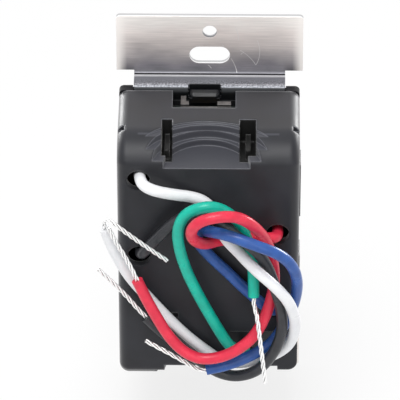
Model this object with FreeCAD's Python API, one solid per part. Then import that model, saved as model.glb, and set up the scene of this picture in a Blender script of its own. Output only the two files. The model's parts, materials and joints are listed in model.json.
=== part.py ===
import FreeCAD, Part
import math
import os

os.makedirs("parts", exist_ok=True)

# A wall switch seen from behind: a bent steel strap, a black rear housing full of electronics,
# a white front with a rocking paddle, and five short insulated leads with bare twisted ends.
# Millimetres, as installed: +Z up, the paddle faces -Y, the leads leave towards +Y.
# The origin is the centre of the strap, on the rear faces of its two ears.

# Clearances
RUNNING = 0.05
LOOSE = 0.3
FACE_GAP = 0.1

# Front bezel and paddle
BEZEL_HALF_WIDTH = 16.5
BEZEL_HALF_HEIGHT = 33.3
BEZEL_WALL = 1.6
BEZEL_RIM = 1.2
BEZEL_RIM_THICKNESS = 1.5
BEZEL_FRONT = -6.0
BEZEL_INNER_X = BEZEL_HALF_WIDTH - BEZEL_WALL
BEZEL_INNER_Z = BEZEL_HALF_HEIGHT - BEZEL_WALL
PADDLE_PROUD = 2.6
PADDLE_DEPTH = 4.2
PADDLE_SKIN = 1.9
PADDLE_DISH_RADIUS = 900.0
PADDLE_DISH_DEPTH = 0.4
PADDLE_FRONT = BEZEL_FRONT - PADDLE_PROUD
HINGE_PIN_R = 1.0
PADDLE_GAP = LOOSE
PIPE_R = 1.0
HINGE_Y = BEZEL_FRONT + 2.8
HINGE_Z = BEZEL_HALF_HEIGHT - 6.3
LED_Z = -(BEZEL_HALF_HEIGHT - 8.3)
PLUNGER_Z = 9.0

# Strap. Its flanges stand just outside the bezel's rim.
SHEET = 1.2
BEND_RADIUS = 2.0
EAR_HALF_WIDTH = 22.75
EAR_CORNER = 0.9
FLANGE_HALF_WIDTH = 18.45
FLANGE_INNER = BEZEL_HALF_HEIGHT + BEZEL_RIM + 0.7
FLANGE_OUTER = FLANGE_INNER + SHEET
PLATE_REAR = 6.5
PLATE_FRONT = PLATE_REAR - SHEET
BOX_SLOT_Z = FLANGE_OUTER + 5.25
BOX_SLOT_LENGTH = 9.9
BOX_SLOT_WIDTH = 4.8
FACEPLATE_HOLE_Z = BOX_SLOT_Z + 6.75
FACEPLATE_HOLE_R = 1.75
EAR_END = FACEPLATE_HOLE_Z + 4.35
HEADER_WINDOW = 4.75

# Rear housing
HOUSING_HALF_WIDTH = 22.0
HOUSING_HALF_HEIGHT = FLANGE_OUTER - 0.9
HOUSING_DEPTH = 24.8
HOUSING_REAR = PLATE_REAR + HOUSING_DEPTH
WALL = 1.8
SHOULDER_RADIUS = 10.65
SHOULDER_START = HOUSING_REAR - 8.8
EDGE_BLEND = 1.3
SIDE_ROUNDING = 2.4
INNER_X = HOUSING_HALF_WIDTH - WALL

# Latch: a black tongue at each end, in a window of the housing, in front of a metal clip
LATCH_X = 1.15
TONGUE_HALF_WIDTH = 3.65
TONGUE_REAR = PLATE_REAR + 4.1
WINDOW_HALF_WIDTH = 7.65
WINDOW_REAR = PLATE_REAR + 7.4

# Sub-frame
SUBFRAME_PLATE = 1.1
SUBFRAME_FRONT = PLATE_FRONT - SUBFRAME_PLATE
POST_HEIGHT = 4.2
POST_R = 1.6
PIN_R = 0.8
LEG_R = 1.6
LEG_X, LEG_Z = 14.5, HOUSING_HALF_HEIGHT - 13.5

# Boards
CONTROL_THICKNESS = 1.0
CONTROL_REAR = SUBFRAME_FRONT - POST_HEIGHT
CONTROL_FRONT = CONTROL_REAR - CONTROL_THICKNESS
CONTROL_HALF_WIDTH = BEZEL_INNER_X - 0.9
CONTROL_HALF_HEIGHT = BEZEL_INNER_Z - 1.4
POST_X, POST_Z = CONTROL_HALF_WIDTH - 2.5, CONTROL_HALF_HEIGHT - 4.3
BOARD_THICKNESS = 1.6
BOARD_FRONT = PLATE_REAR + 2.1
BOARD_REAR = BOARD_FRONT + BOARD_THICKNESS
BOARD_HALF_WIDTH = INNER_X - 0.45
BOARD_TOP = HOUSING_HALF_HEIGHT - 3.0
BOARD_BOTTOM = -(HOUSING_HALF_HEIGHT - 8.0)
INSULATOR = 0.4

# Earth rivet
RIVET_X, RIVET_R, RIVET_HEAD_R = -3.8, 1.2, 2.1
RIVET_Z = -(HOUSING_HALF_HEIGHT - 4.5)
EARTH_Z = RIVET_Z + 0.4
RIVET_HEAD = 0.7
LUG = 0.8

# Leads
INSULATION = 2.8
CONDUCTOR = 1.2
BEND_SHARE = 0.45
EYELET_X = INNER_X - 3.4


def vec(x, y, z):
    return FreeCAD.Vector(x, y, z)


def box(x0, x1, y0, y1, z0, z1):
    return Part.makeBox(x1 - x0, y1 - y0, z1 - z0, vec(x0, y0, z0))


def slab(x, half_x, y0, y1, z, half_z):
    """A box given by its middle and half size in X and Z."""
    return box(x - half_x, x + half_x, y0, y1, z - half_z, z + half_z)


def rod_x(y, z, r, x0, x1):
    return Part.makeCylinder(r, x1 - x0, vec(x0, y, z), vec(1, 0, 0))


def rod_y(x, z, r, y0, y1):
    return Part.makeCylinder(r, y1 - y0, vec(x, y0, z), vec(0, 1, 0))


def rod_z(x, y, r, z0, z1):
    return Part.makeCylinder(r, z1 - z0, vec(x, y, z0), vec(0, 0, 1))


def join(shapes):
    whole = shapes[0]
    for shape in shapes[1:]:
        whole = whole.fuse(shape)
    return whole.removeSplitter()


def cut(shape, tools):
    for tool in tools:
        shape = shape.cut(tool)
    return shape


def flip_z(shape):
    return shape.mirror(vec(0, 0, 0), vec(0, 0, 1))


def flip_x(shape):
    return shape.mirror(vec(0, 0, 0), vec(1, 0, 0))


def at_corners(make, x, z):
    """The same feature at the four corners of a rectangle."""
    return [make(sx * x, sz * z) for sx in (1, -1) for sz in (1, -1)]


def edges_where(shape, test):
    return [edge for edge in shape.Edges if test(edge.CenterOfMass, edge.BoundBox)]


def rounded(shape, radius, test):
    """Fillet the edges that the test picks by their middle and their span."""
    return shape.makeFillet(radius, edges_where(shape, test))


def along_x(span):
    return span.YLength < 0.01 and span.ZLength < 0.01


def along_y(span):
    return span.XLength < 0.01 and span.ZLength < 0.01


def along_z(span):
    return span.XLength < 0.01 and span.YLength < 0.01


def line_yz(a, b):
    return Part.makeLine(vec(0, *a), vec(0, *b))


def arc_yz(a, middle, b):
    return Part.Arc(vec(0, *a), vec(0, *middle), vec(0, *b)).toShape()


def extrude_yz(edges, half_width):
    face = Part.Face(Part.Wire(edges))
    face.translate(vec(-half_width, 0, 0))
    return face.extrude(vec(2 * half_width, 0, 0))


def write(name, shape):
    print("%-20s solids %d volume %.1f valid %s" % (name, len(shape.Solids), shape.Volume, shape.isValid()))
    shape.exportStep("parts/%s.step" % name)


# Mounting strap: ear, bend, flange, bend and plate in one profile, and the same again below
def strap_profile(top):
    outside = BEND_RADIUS
    inside = BEND_RADIUS - SHEET
    diagonal = math.sqrt(0.5)
    front_bend = (outside - SHEET, FLANGE_INNER + outside)
    rear_bend = (PLATE_REAR - outside, FLANGE_OUTER - outside)

    def on_front_bend(radius, y_share, z_share):
        return (front_bend[0] - radius * y_share, front_bend[1] - radius * z_share)

    def on_rear_bend(radius, y_share, z_share):
        return (rear_bend[0] + radius * y_share, rear_bend[1] + radius * z_share)

    edges = [
        line_yz((0, top), on_front_bend(inside, 1, 0)),
        arc_yz(on_front_bend(inside, 1, 0), on_front_bend(inside, diagonal, diagonal), on_front_bend(inside, 0, 1)),
        line_yz(on_front_bend(inside, 0, 1), on_rear_bend(outside, 0, 1)),
        arc_yz(on_rear_bend(outside, 0, 1), on_rear_bend(outside, diagonal, diagonal), on_rear_bend(outside, 1, 0)),
        line_yz(on_rear_bend(outside, 1, 0), (PLATE_REAR, 0)),
        line_yz((PLATE_REAR, 0), (PLATE_FRONT, 0)),
        line_yz((PLATE_FRONT, 0), on_rear_bend(inside, 1, 0)),
        arc_yz(on_rear_bend(inside, 1, 0), on_rear_bend(inside, diagonal, diagonal), on_rear_bend(inside, 0, 1)),
        line_yz(on_rear_bend(inside, 0, 1), on_front_bend(outside, 0, 1)),
        arc_yz(on_front_bend(outside, 0, 1), on_front_bend(outside, diagonal, diagonal), on_front_bend(outside, 1, 0)),
        line_yz(on_front_bend(outside, 1, 0), (-SHEET, top)),
        line_yz((-SHEET, top), (0, top)),
    ]
    return extrude_yz(edges, FLANGE_HALF_WIDTH)


def box_slot():
    r = BOX_SLOT_WIDTH / 2
    reach = BOX_SLOT_LENGTH / 2 - r
    middle = slab(0, reach, -2 * SHEET, SHEET, BOX_SLOT_Z, r)
    return join([middle] + [rod_y(x, BOX_SLOT_Z, r, -2 * SHEET, SHEET) for x in (reach, -reach)])


def strap():
    ear_start = FLANGE_INNER + BEND_RADIUS
    middle = (ear_start + EAR_END) / 2
    ear = box(-EAR_HALF_WIDTH, EAR_HALF_WIDTH, -SHEET, 0, ear_start, EAR_END)
    ear = rounded(ear, EAR_CORNER, lambda m, s: along_y(s) and m.z > middle)
    half = join([strap_profile(middle), ear])
    half = half.cut(rod_y(0, FACEPLATE_HOLE_Z, FACEPLATE_HOLE_R, -2 * SHEET, SHEET))
    half = half.cut(box_slot())
    notch = slab(LATCH_X, TONGUE_HALF_WIDTH + 0.4, PLATE_FRONT - LOOSE, PLATE_REAR + 1, 0, 1)
    notch = box(notch.BoundBox.XMin, notch.BoundBox.XMax, PLATE_FRONT - LOOSE, PLATE_REAR + 1,
                FLANGE_INNER - 1.8, FLANGE_OUTER + 1)
    half = half.cut(notch)
    whole = join([half, flip_z(half)])
    holes = [slab(0, HEADER_WINDOW, PLATE_FRONT - 1, PLATE_REAR + 1, 0, HEADER_WINDOW)]
    holes.append(rod_y(RIVET_X, RIVET_Z, RIVET_R, PLATE_FRONT - 1, PLATE_REAR + 1))
    holes += at_corners(lambda x, z: rod_y(x, z, LEG_R + LOOSE, PLATE_FRONT - 1, PLATE_REAR + 1), LEG_X, LEG_Z)
    return cut(whole, holes)


write("mounting_strap", strap())


# Sub-frame: the black tray in front of the strap, with its side bands, latch tongues, posts and legs
def sub_frame():
    notch_x = FLANGE_HALF_WIDTH + 0.2
    band_rear = PLATE_REAR - FACE_GAP
    rim_z = FLANGE_INNER - 0.2
    band_width = HOUSING_HALF_WIDTH - notch_x
    plate = box(-notch_x, notch_x, SUBFRAME_FRONT, PLATE_FRONT, -rim_z + 0.6, rim_z - 0.6)
    rim = box(-notch_x, notch_x, SUBFRAME_FRONT, PLATE_FRONT - 0.4, -rim_z, rim_z)
    band = box(notch_x, HOUSING_HALF_WIDTH, SUBFRAME_FRONT, band_rear, -HOUSING_HALF_HEIGHT, HOUSING_HALF_HEIGHT)
    band = rounded(band, min(1.2, band_width / 2.5), lambda m, s: along_y(s) and m.x > notch_x + 0.1)
    tongue_z = FLANGE_INNER - 1.6
    tongue = box(LATCH_X - TONGUE_HALF_WIDTH, LATCH_X + TONGUE_HALF_WIDTH, SUBFRAME_FRONT, TONGUE_REAR,
                 tongue_z, tongue_z + 1.3)
    nose_top = HOUSING_HALF_HEIGHT + 0.6
    nose = box(LATCH_X - TONGUE_HALF_WIDTH, LATCH_X + TONGUE_HALF_WIDTH, PLATE_REAR + 0.5, TONGUE_REAR,
               tongue_z, nose_top)
    nose = rounded(nose, 0.9, lambda m, s: along_y(s) and m.z > nose_top - 0.1)
    nose = nose.makeChamfer(0.7, edges_where(nose, lambda m, s: abs(m.y - TONGUE_REAR) < 0.01
                                             and m.z > nose_top - 0.05))
    hook = join([tongue, nose])
    pieces = [plate, rim, band, flip_x(band), hook, flip_z(hook)]
    pieces += at_corners(lambda x, z: rod_y(x, z, POST_R, CONTROL_REAR, SUBFRAME_FRONT + LOOSE), POST_X, POST_Z)
    pieces += at_corners(lambda x, z: rod_y(x, z, PIN_R, CONTROL_FRONT - 0.7, CONTROL_REAR + 0.5), POST_X, POST_Z)
    pieces += at_corners(lambda x, z: rod_y(x, z, LEG_R, PLATE_FRONT - LOOSE, BOARD_FRONT), LEG_X, LEG_Z)
    window = slab(0, HEADER_WINDOW + RUNNING, SUBFRAME_FRONT - 1, PLATE_REAR, 0, HEADER_WINDOW + RUNNING)
    pocket = rod_y(RIVET_X, RIVET_Z, RIVET_HEAD_R + 0.5, SUBFRAME_FRONT - 1, PLATE_REAR)
    return cut(join(pieces), [window, pocket])


write("sub_frame", sub_frame())


# Front bezel: the white frame round the paddle, with the two hinge bores
def bezel():
    wall = box(-BEZEL_HALF_WIDTH, BEZEL_HALF_WIDTH, BEZEL_FRONT, SUBFRAME_FRONT, -BEZEL_HALF_HEIGHT, BEZEL_HALF_HEIGHT)
    wall = rounded(wall, 1.2, lambda m, s: along_y(s))
    wall = rounded(wall, 0.5, lambda m, s: abs(m.y - BEZEL_FRONT) < 0.01)
    rim_x, rim_z = BEZEL_HALF_WIDTH + 1.5, BEZEL_HALF_HEIGHT + BEZEL_RIM
    rim = box(-rim_x, rim_x, SUBFRAME_FRONT - BEZEL_RIM_THICKNESS, SUBFRAME_FRONT, -rim_z, rim_z)
    rim = rounded(rim, 1.5, lambda m, s: along_y(s))
    opening = slab(0, BEZEL_INNER_X, PADDLE_FRONT, PLATE_REAR, 0, BEZEL_INNER_Z)
    bore = rod_x(HINGE_Y, HINGE_Z, HINGE_PIN_R + RUNNING, -rim_x - 1, rim_x + 1)
    return cut(join([wall, rim]), [opening, bore])


write("front_bezel", bezel())

# Control board behind the paddle, and what stands on it
control = slab(0, CONTROL_HALF_WIDTH, CONTROL_FRONT, CONTROL_REAR, 0, CONTROL_HALF_HEIGHT)
control = rounded(control, 1.5, lambda m, s: along_y(s))
pin_holes = at_corners(lambda x, z: rod_y(x, z, PIN_R + RUNNING, CONTROL_FRONT - 1, CONTROL_REAR + 1), POST_X, POST_Z)
write("control_board", cut(control, pin_holes))

TACT_FRONT = CONTROL_FRONT - 3.3
PLUNGER_FRONT = TACT_FRONT - 1.1
PLUNGER_R = 1.7
tact = slab(0, 3, TACT_FRONT, CONTROL_FRONT, PLUNGER_Z, 3)
tact = rounded(tact, 0.6, lambda m, s: along_y(s))
write("tact_switch_body", tact.cut(rod_y(0, PLUNGER_Z, PLUNGER_R + RUNNING, TACT_FRONT - 1, CONTROL_FRONT - 1.2)))
plunger = rod_y(0, PLUNGER_Z, PLUNGER_R, TACT_FRONT - 0.7, CONTROL_FRONT - 1.6)
write("tact_plunger", join([plunger, rod_y(0, PLUNGER_Z, 1.3, PLUNGER_FRONT, TACT_FRONT - 0.6)]))

led = slab(0, 1.6, CONTROL_FRONT - 0.7, CONTROL_FRONT, LED_Z, 1.4)
write("status_led", join([led, rod_y(0, LED_Z, 1.1, CONTROL_FRONT - 1.3, CONTROL_FRONT - 0.5)]))

RADIO_FRONT = CONTROL_FRONT - 0.8
SHIELD_FRONT = RADIO_FRONT - 2.4
SHIELD_WALL = 0.3
RADIO_X, RADIO_Z = -3.5, LED_Z + 12.95
SHIELD_HALF = 7.4
write("radio_board", box(RADIO_X - 9, RADIO_X + 9, RADIO_FRONT, CONTROL_FRONT, LED_Z + 4.5, 4.0))
shield = slab(RADIO_X, SHIELD_HALF, SHIELD_FRONT, RADIO_FRONT, RADIO_Z, SHIELD_HALF)
shield = rounded(shield, 0.5, lambda m, s: m.y < RADIO_FRONT - 0.7)
shield_room = slab(RADIO_X, SHIELD_HALF - SHIELD_WALL, SHIELD_FRONT + SHIELD_WALL, RADIO_FRONT,
                   RADIO_Z, SHIELD_HALF - SHIELD_WALL)
write("radio_shield", shield.cut(shield_room))
write("radio_chip", slab(RADIO_X - 0.5, 3.0, RADIO_FRONT - 1.0, RADIO_FRONT, RADIO_Z, 3.0))
chip_front = CONTROL_FRONT - 1.2
chip = slab(7.9, 3.5, chip_front, CONTROL_FRONT, 17.0, 3.5)
write("controller_chip", chip.makeChamfer(0.3, edges_where(chip, lambda m, s: abs(m.y - chip_front) < 0.01)))


# Paddle: one broad rocking plate with a shallow dish, hinge lugs, pins and a press boss
def paddle():
    half_x = BEZEL_INNER_X - PADDLE_GAP
    half_z = BEZEL_INNER_Z - PADDLE_GAP
    rear = PADDLE_FRONT + PADDLE_DEPTH
    body = slab(0, half_x, PADDLE_FRONT, rear, 0, half_z)
    body = rounded(body, 1.0, lambda m, s: along_y(s))
    body = rounded(body, 0.6, lambda m, s: abs(m.y - PADDLE_FRONT) < 0.01)
    hollow = slab(0, half_x - 1.2, PADDLE_FRONT + PADDLE_SKIN, rear + 1, 0, half_z - 1.2)
    dish_y = PADDLE_FRONT - PADDLE_DISH_RADIUS + PADDLE_DISH_DEPTH
    dish = rod_x(dish_y, 0, PADDLE_DISH_RADIUS, -half_x + 2.0, half_x - 2.0)
    body = cut(body, [hollow, dish])
    lug_rear = HINGE_Y + HINGE_PIN_R + 0.3
    lug = slab(half_x - 0.9, 0.9, PADDLE_FRONT + PADDLE_SKIN - 0.2, lug_rear, HINGE_Z, 1.9)
    lug = rounded(lug, 1.2, lambda m, s: along_x(s) and m.y > lug_rear - 0.1)
    pin = rod_x(HINGE_Y, HINGE_Z, HINGE_PIN_R, half_x - 1.0, BEZEL_HALF_WIDTH - LOOSE)
    boss = rod_y(0, PLUNGER_Z, 1.6, PADDLE_FRONT + PADDLE_SKIN - 0.3, PLUNGER_FRONT - RUNNING)
    whole = join([body, lug, flip_x(lug), pin, flip_x(pin), boss])
    return whole.cut(rod_y(0, LED_Z, PIPE_R, PADDLE_FRONT - 1, rear))


pipe_rear = PADDLE_FRONT + PADDLE_DEPTH
pipe_head = PADDLE_FRONT + PADDLE_SKIN
write("paddle", paddle())
write("light_pipe", join([rod_y(0, LED_Z, PIPE_R, PADDLE_FRONT + PADDLE_DISH_DEPTH, pipe_rear),
                          rod_y(0, LED_Z, 1.8, pipe_head, pipe_head + 0.8)]))

# Two rows of pins join the boards through the window in the strap
PIN_HALF_THICKNESS = 0.32
PIN_SPOTS = [(x, z) for x in (-3.0, -1.0, 1.0, 3.0) for z in (-1.0, 1.0)]
SOCKET_REAR = CONTROL_REAR + 4.6
socket = slab(0, 4.2, CONTROL_REAR, SOCKET_REAR, 0, 2.6)
socket_holes = [rod_y(x, z, PIN_HALF_THICKNESS + RUNNING, CONTROL_REAR + 1.0, SOCKET_REAR + 1) for x, z in PIN_SPOTS]
write("board_socket", cut(socket, socket_holes))
header = slab(0, 4.2, SOCKET_REAR + FACE_GAP, BOARD_FRONT, 0, 2.6)
write("board_header", cut(header, [rod_y(x, z, PIN_HALF_THICKNESS, SOCKET_REAR, BOARD_FRONT + 1) for x, z in PIN_SPOTS]))
pins = [rod_y(x, z, PIN_HALF_THICKNESS, CONTROL_REAR + 1.5, BOARD_FRONT) for x, z in PIN_SPOTS]
write("header_pins", Part.makeCompound(pins))

sheet_rear = PLATE_REAR + INSULATOR
sheet_half_width = FLANGE_HALF_WIDTH - 1.45
sheet = box(-sheet_half_width, sheet_half_width, PLATE_REAR, sheet_rear, BOARD_BOTTOM + 1.0, BOARD_TOP + 0.3)
sheet_holes = [slab(0, HEADER_WINDOW + RUNNING, PLATE_REAR - 1, sheet_rear + 1, 0, HEADER_WINDOW + RUNNING)]
sheet_holes += at_corners(lambda x, z: rod_y(x, z, LEG_R + LOOSE, PLATE_REAR - 1, sheet_rear + 1), LEG_X, LEG_Z)
write("insulator_sheet", cut(sheet, sheet_holes))

board = box(-BOARD_HALF_WIDTH, BOARD_HALF_WIDTH, BOARD_FRONT, BOARD_REAR, BOARD_BOTTOM, BOARD_TOP)
write("main_board", rounded(board, 1.5, lambda m, s: along_y(s)))

# Relay: base, cover, coil, core, yoke and the small hinged armature
RELAY_HALF_WIDTH, RELAY_HALF_HEIGHT = 8.0, 10.0
RELAY_X, RELAY_Z = 4.0, BOARD_TOP - 9.5 - RELAY_HALF_HEIGHT
RELAY_BASE = BOARD_REAR + 1.5
RELAY_COVER = RELAY_BASE + 14.0
RELAY_WALL = 0.7
YOKE = 1.0
YOKE_FOOT = RELAY_Z - 8.2
YOKE_REAR = RELAY_BASE + 11.2
YOKE_END = YOKE_FOOT + 13.8
COIL_Y = RELAY_BASE + 5.3
COIL_R, COIL_FLANGE_R, CORE_R = 4.0, 4.6, 1.6
COIL_START, COIL_END = YOKE_FOOT + YOKE, YOKE_FOOT + 13.0
write("relay_base", slab(RELAY_X, RELAY_HALF_WIDTH, BOARD_REAR, RELAY_BASE, RELAY_Z, RELAY_HALF_HEIGHT))
cover = slab(RELAY_X, RELAY_HALF_WIDTH, RELAY_BASE, RELAY_COVER, RELAY_Z, RELAY_HALF_HEIGHT)
cover = rounded(cover, 0.9, lambda m, s: abs(m.y - RELAY_COVER) < 0.01 or along_y(s))
cover_room = slab(RELAY_X, RELAY_HALF_WIDTH - RELAY_WALL, RELAY_BASE, RELAY_COVER - RELAY_WALL,
                  RELAY_Z, RELAY_HALF_HEIGHT - RELAY_WALL)
write("relay_cover", cover.cut(cover_room))
coil = join([rod_z(RELAY_X, COIL_Y, COIL_R, COIL_START, COIL_END),
             rod_z(RELAY_X, COIL_Y, COIL_FLANGE_R, COIL_START, COIL_START + 0.8),
             rod_z(RELAY_X, COIL_Y, COIL_FLANGE_R, COIL_END - 0.8, COIL_END)])
write("relay_coil", coil.cut(rod_z(RELAY_X, COIL_Y, CORE_R, COIL_START - 1, COIL_END + 1)))
write("relay_core", rod_z(RELAY_X, COIL_Y, CORE_R, COIL_START, COIL_END + 0.3))
foot = box(RELAY_X - 3, RELAY_X + 3, RELAY_BASE, YOKE_REAR, YOKE_FOOT, YOKE_FOOT + YOKE)
arm = box(RELAY_X - 3, RELAY_X + 3, YOKE_REAR - YOKE, YOKE_REAR, YOKE_FOOT, YOKE_END)
write("relay_yoke", join([foot, arm]))
armature = box(RELAY_X - 3.2, RELAY_X + 3.2, RELAY_BASE + 0.7, YOKE_REAR - 0.2, YOKE_END, YOKE_END + 0.8)
write("relay_armature", rounded(armature, 0.6, lambda m, s: along_z(s)))

# Transformer: bobbin on the board, winding round it and a figure-eight core through it
TRAFO_X, TRAFO_Z = 5.5, -8.25
TRAFO_HALF_WIDTH, TRAFO_HALF_HEIGHT = 6.5, 7.25
TRAFO_BASE = BOARD_REAR + 1.0
TRAFO_Y = TRAFO_BASE + 5.5
CORE_HALF_DEPTH, CORE_LIMB = 2.5, 1.8
BOBBIN_WALL = 0.5
BOBBIN_END, WINDING_END = 4.25, 3.75
tube_x, tube_y = CORE_LIMB + BOBBIN_WALL, CORE_HALF_DEPTH + BOBBIN_WALL
base = slab(TRAFO_X, TRAFO_HALF_WIDTH, BOARD_REAR, TRAFO_BASE, TRAFO_Z, TRAFO_HALF_HEIGHT)
flange = box(TRAFO_X - 3.7, TRAFO_X + 3.7, TRAFO_BASE, TRAFO_Y + 5.2, TRAFO_Z + WINDING_END, TRAFO_Z + BOBBIN_END)
far_flange = flange.copy()
far_flange.translate(vec(0, 0, -WINDING_END - BOBBIN_END))
tube_wall = slab(TRAFO_X, tube_x, TRAFO_Y - tube_y, TRAFO_Y + tube_y, TRAFO_Z, BOBBIN_END)
limb_room = slab(TRAFO_X, CORE_LIMB, TRAFO_Y - CORE_HALF_DEPTH, TRAFO_Y + CORE_HALF_DEPTH, TRAFO_Z, TRAFO_HALF_HEIGHT + 1)
write("transformer_bobbin", join([base, flange, far_flange, tube_wall]).cut(limb_room))
winding = slab(TRAFO_X, 3.5, TRAFO_Y - 4.8, TRAFO_Y + 4.8, TRAFO_Z, WINDING_END)
winding = rounded(winding, 1.6, lambda m, s: along_z(s))
write("transformer_winding", winding.cut(slab(TRAFO_X, tube_x, TRAFO_Y - tube_y, TRAFO_Y + tube_y, TRAFO_Z, BOBBIN_END)))
core = slab(TRAFO_X, TRAFO_HALF_WIDTH, TRAFO_Y - CORE_HALF_DEPTH, TRAFO_Y + CORE_HALF_DEPTH, TRAFO_Z, TRAFO_HALF_HEIGHT)
core_windows = [slab(TRAFO_X + side * (CORE_LIMB + 1.05), 1.05, TRAFO_BASE, TRAFO_Y + 5, TRAFO_Z, BOBBIN_END)
                for side in (1, -1)]
write("transformer_core", cut(core, core_windows))


# Round cans, boxes and small parts on the rear of the main board
def can(x, z, r, height):
    body = rod_y(x, z, r, BOARD_REAR, BOARD_REAR + height)
    body = rounded(body, 0.6, lambda m, s: s.YLength < 0.01 and s.XLength > 1)
    ring = Part.makeTorus(r + 0.15, 0.45, vec(x, BOARD_REAR + 2.0, z), vec(0, 1, 0))
    return body.cut(ring)


write("bulk_capacitor", can(-9.0, -10.0, 4.0, 15.0))
write("output_capacitor", can(-8.6, -1.4, 3.15, 11.0))
film = box(-7, 6, BOARD_REAR, BOARD_REAR + 7.4, BOARD_TOP - 7.1, BOARD_TOP - 1.1)
write("film_capacitor", rounded(film, 0.6, lambda m, s: m.y > BOARD_REAR + 0.8 or along_y(s)))
VARISTOR_X, VARISTOR_Z, VARISTOR_R = -11.4, 17.5, 4.4
disc = rod_x(BOARD_REAR + 5.6, VARISTOR_Z, VARISTOR_R, VARISTOR_X - 1.8, VARISTOR_X + 1.8)
disc = rounded(disc, 1.0, lambda m, s: s.XLength < 0.01 and s.YLength > 1)
legs = [rod_y(VARISTOR_X, VARISTOR_Z + side * 2.5, 0.4, BOARD_REAR, BOARD_REAR + 3.8) for side in (1, -1)]
write("varistor", join([disc] + legs))
FUSE_X, FUSE_Z = -8.0, 8.6
barrel = rod_y(FUSE_X, FUSE_Z, 1.7, BOARD_REAR + 0.8, BOARD_REAR + 9.2)
barrel = rounded(barrel, 0.6, lambda m, s: s.YLength < 0.01 and s.XLength > 1)
write("fuse_resistor", join([rod_y(FUSE_X, FUSE_Z, 0.4, BOARD_REAR, BOARD_REAR + 9.8), barrel]))
rectifier = slab(9, 3, BOARD_REAR, BOARD_REAR + 2.6, BOARD_BOTTOM + 5.25, 3.25)
rectifier = rectifier.makeChamfer(0.4, edges_where(rectifier, lambda m, s: m.y > BOARD_REAR + 2.5))
write("bridge_rectifier", rectifier)
package = box(-3.5, 3.0, BOARD_REAR + 0.2, BOARD_REAR + 1.8, BOARD_BOTTOM + 3.5, BOARD_BOTTOM + 7.0)
tabs = box(-2.2, 1.6, BOARD_REAR, BOARD_REAR + 0.7, BOARD_BOTTOM + 1.5, BOARD_BOTTOM + 9.0)
write("regulator", join([package, tabs]))

# Where the leads meet the electronics
LEAD_STARTS = [(EYELET_X, 25.2), (EYELET_X, 3.0), (-EYELET_X, 9.8), (-EYELET_X, -12.5)]
EARTH_START = (-9.2, EARTH_Z)
eyelets = [rod_y(x, z, 2.1, BOARD_REAR, BOARD_REAR + 0.7) for x, z in LEAD_STARTS]
write("lead_eyelets", Part.makeCompound(eyelets))
tag = box(-12.0, -1.4, PLATE_REAR, PLATE_REAR + LUG, RIVET_Z - 2.2, RIVET_Z + 2.4)
tag = rounded(tag, 1.8, lambda m, s: along_y(s))
barrel = rod_y(*EARTH_START, 1.9, PLATE_REAR + 0.5, PLATE_REAR + 4.5)
write("ground_lug", join([tag, barrel]).cut(rod_y(RIVET_X, RIVET_Z, RIVET_R, PLATE_REAR - 1, PLATE_REAR + LUG + 1)))
shank = rod_y(RIVET_X, RIVET_Z, RIVET_R, PLATE_FRONT - 0.5, PLATE_REAR + LUG + 0.5)
front_head = rod_y(RIVET_X, RIVET_Z, RIVET_HEAD_R, PLATE_FRONT - RIVET_HEAD, PLATE_FRONT)
rear_head = rod_y(RIVET_X, RIVET_Z, RIVET_HEAD_R, PLATE_REAR + LUG, PLATE_REAR + LUG + RIVET_HEAD)
write("ground_rivet", join([shank, front_head, rear_head]))


# Rear housing: flat ends, a rounded shoulder at top and bottom, then the flat back
def housing_block():
    top = HOUSING_HALF_HEIGHT
    cy, cz = SHOULDER_START, top - SHOULDER_RADIUS
    by = HOUSING_REAR - EDGE_BLEND
    bz = cz + math.sqrt((SHOULDER_RADIUS - EDGE_BLEND) ** 2 - (by - cy) ** 2)
    turn = math.atan2(bz - cz, by - cy)
    half_turn = (turn + math.pi / 2) / 2
    touch = (cy + SHOULDER_RADIUS * math.cos(turn), cz + SHOULDER_RADIUS * math.sin(turn))
    shoulder = (cy + SHOULDER_RADIUS * math.cos(half_turn), cz + SHOULDER_RADIUS * math.sin(half_turn))
    blend = (by + EDGE_BLEND * math.cos(turn / 2), bz + EDGE_BLEND * math.sin(turn / 2))

    def below(point):
        return (point[0], -point[1])

    edges = [
        line_yz((PLATE_REAR, -top), (PLATE_REAR, top)),
        line_yz((PLATE_REAR, top), (cy, top)),
        arc_yz((cy, top), shoulder, touch),
        arc_yz(touch, blend, (HOUSING_REAR, bz)),
        line_yz((HOUSING_REAR, bz), (HOUSING_REAR, -bz)),
        arc_yz((HOUSING_REAR, -bz), below(blend), below(touch)),
        arc_yz(below(touch), below(shoulder), (cy, -top)),
        line_yz((cy, -top), (PLATE_REAR, -top)),
    ]
    block = extrude_yz(edges, HOUSING_HALF_WIDTH)
    return rounded(block, SIDE_ROUNDING, lambda m, s: abs(abs(m.x) - HOUSING_HALF_WIDTH) < 0.01
                   and s.XLength < 0.01 and m.y > PLATE_REAR + 0.1)


WIRE_HOLE_R = INSULATION
WIRE_HOLES = [(EYELET_X, 25.9), (EYELET_X, 3.6), (-EYELET_X, 10.4), (-EYELET_X, -11.9)]
EARTH_HOLE = (-9.0, EARTH_Z + 2.6)
BOWL_X = 0.4
# Bowl steps: how far the axis lies behind the back, the radius, and the floor's depth below the end
BOWL_STEPS = [(0.7, 10.5, 5.9), (2.9, 13.5, 4.1), (6.3, 17.0, 2.1), (10.6, 22.0, 0.5)]
SLOT_FRONT = SHOULDER_START - 3.6
SLOT_REAR = HOUSING_REAR - 2.8
RECESS_X, RECESS_Z = -5.3, -19.15
RECESS_FLOOR = HOUSING_REAR - 5.6


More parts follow.
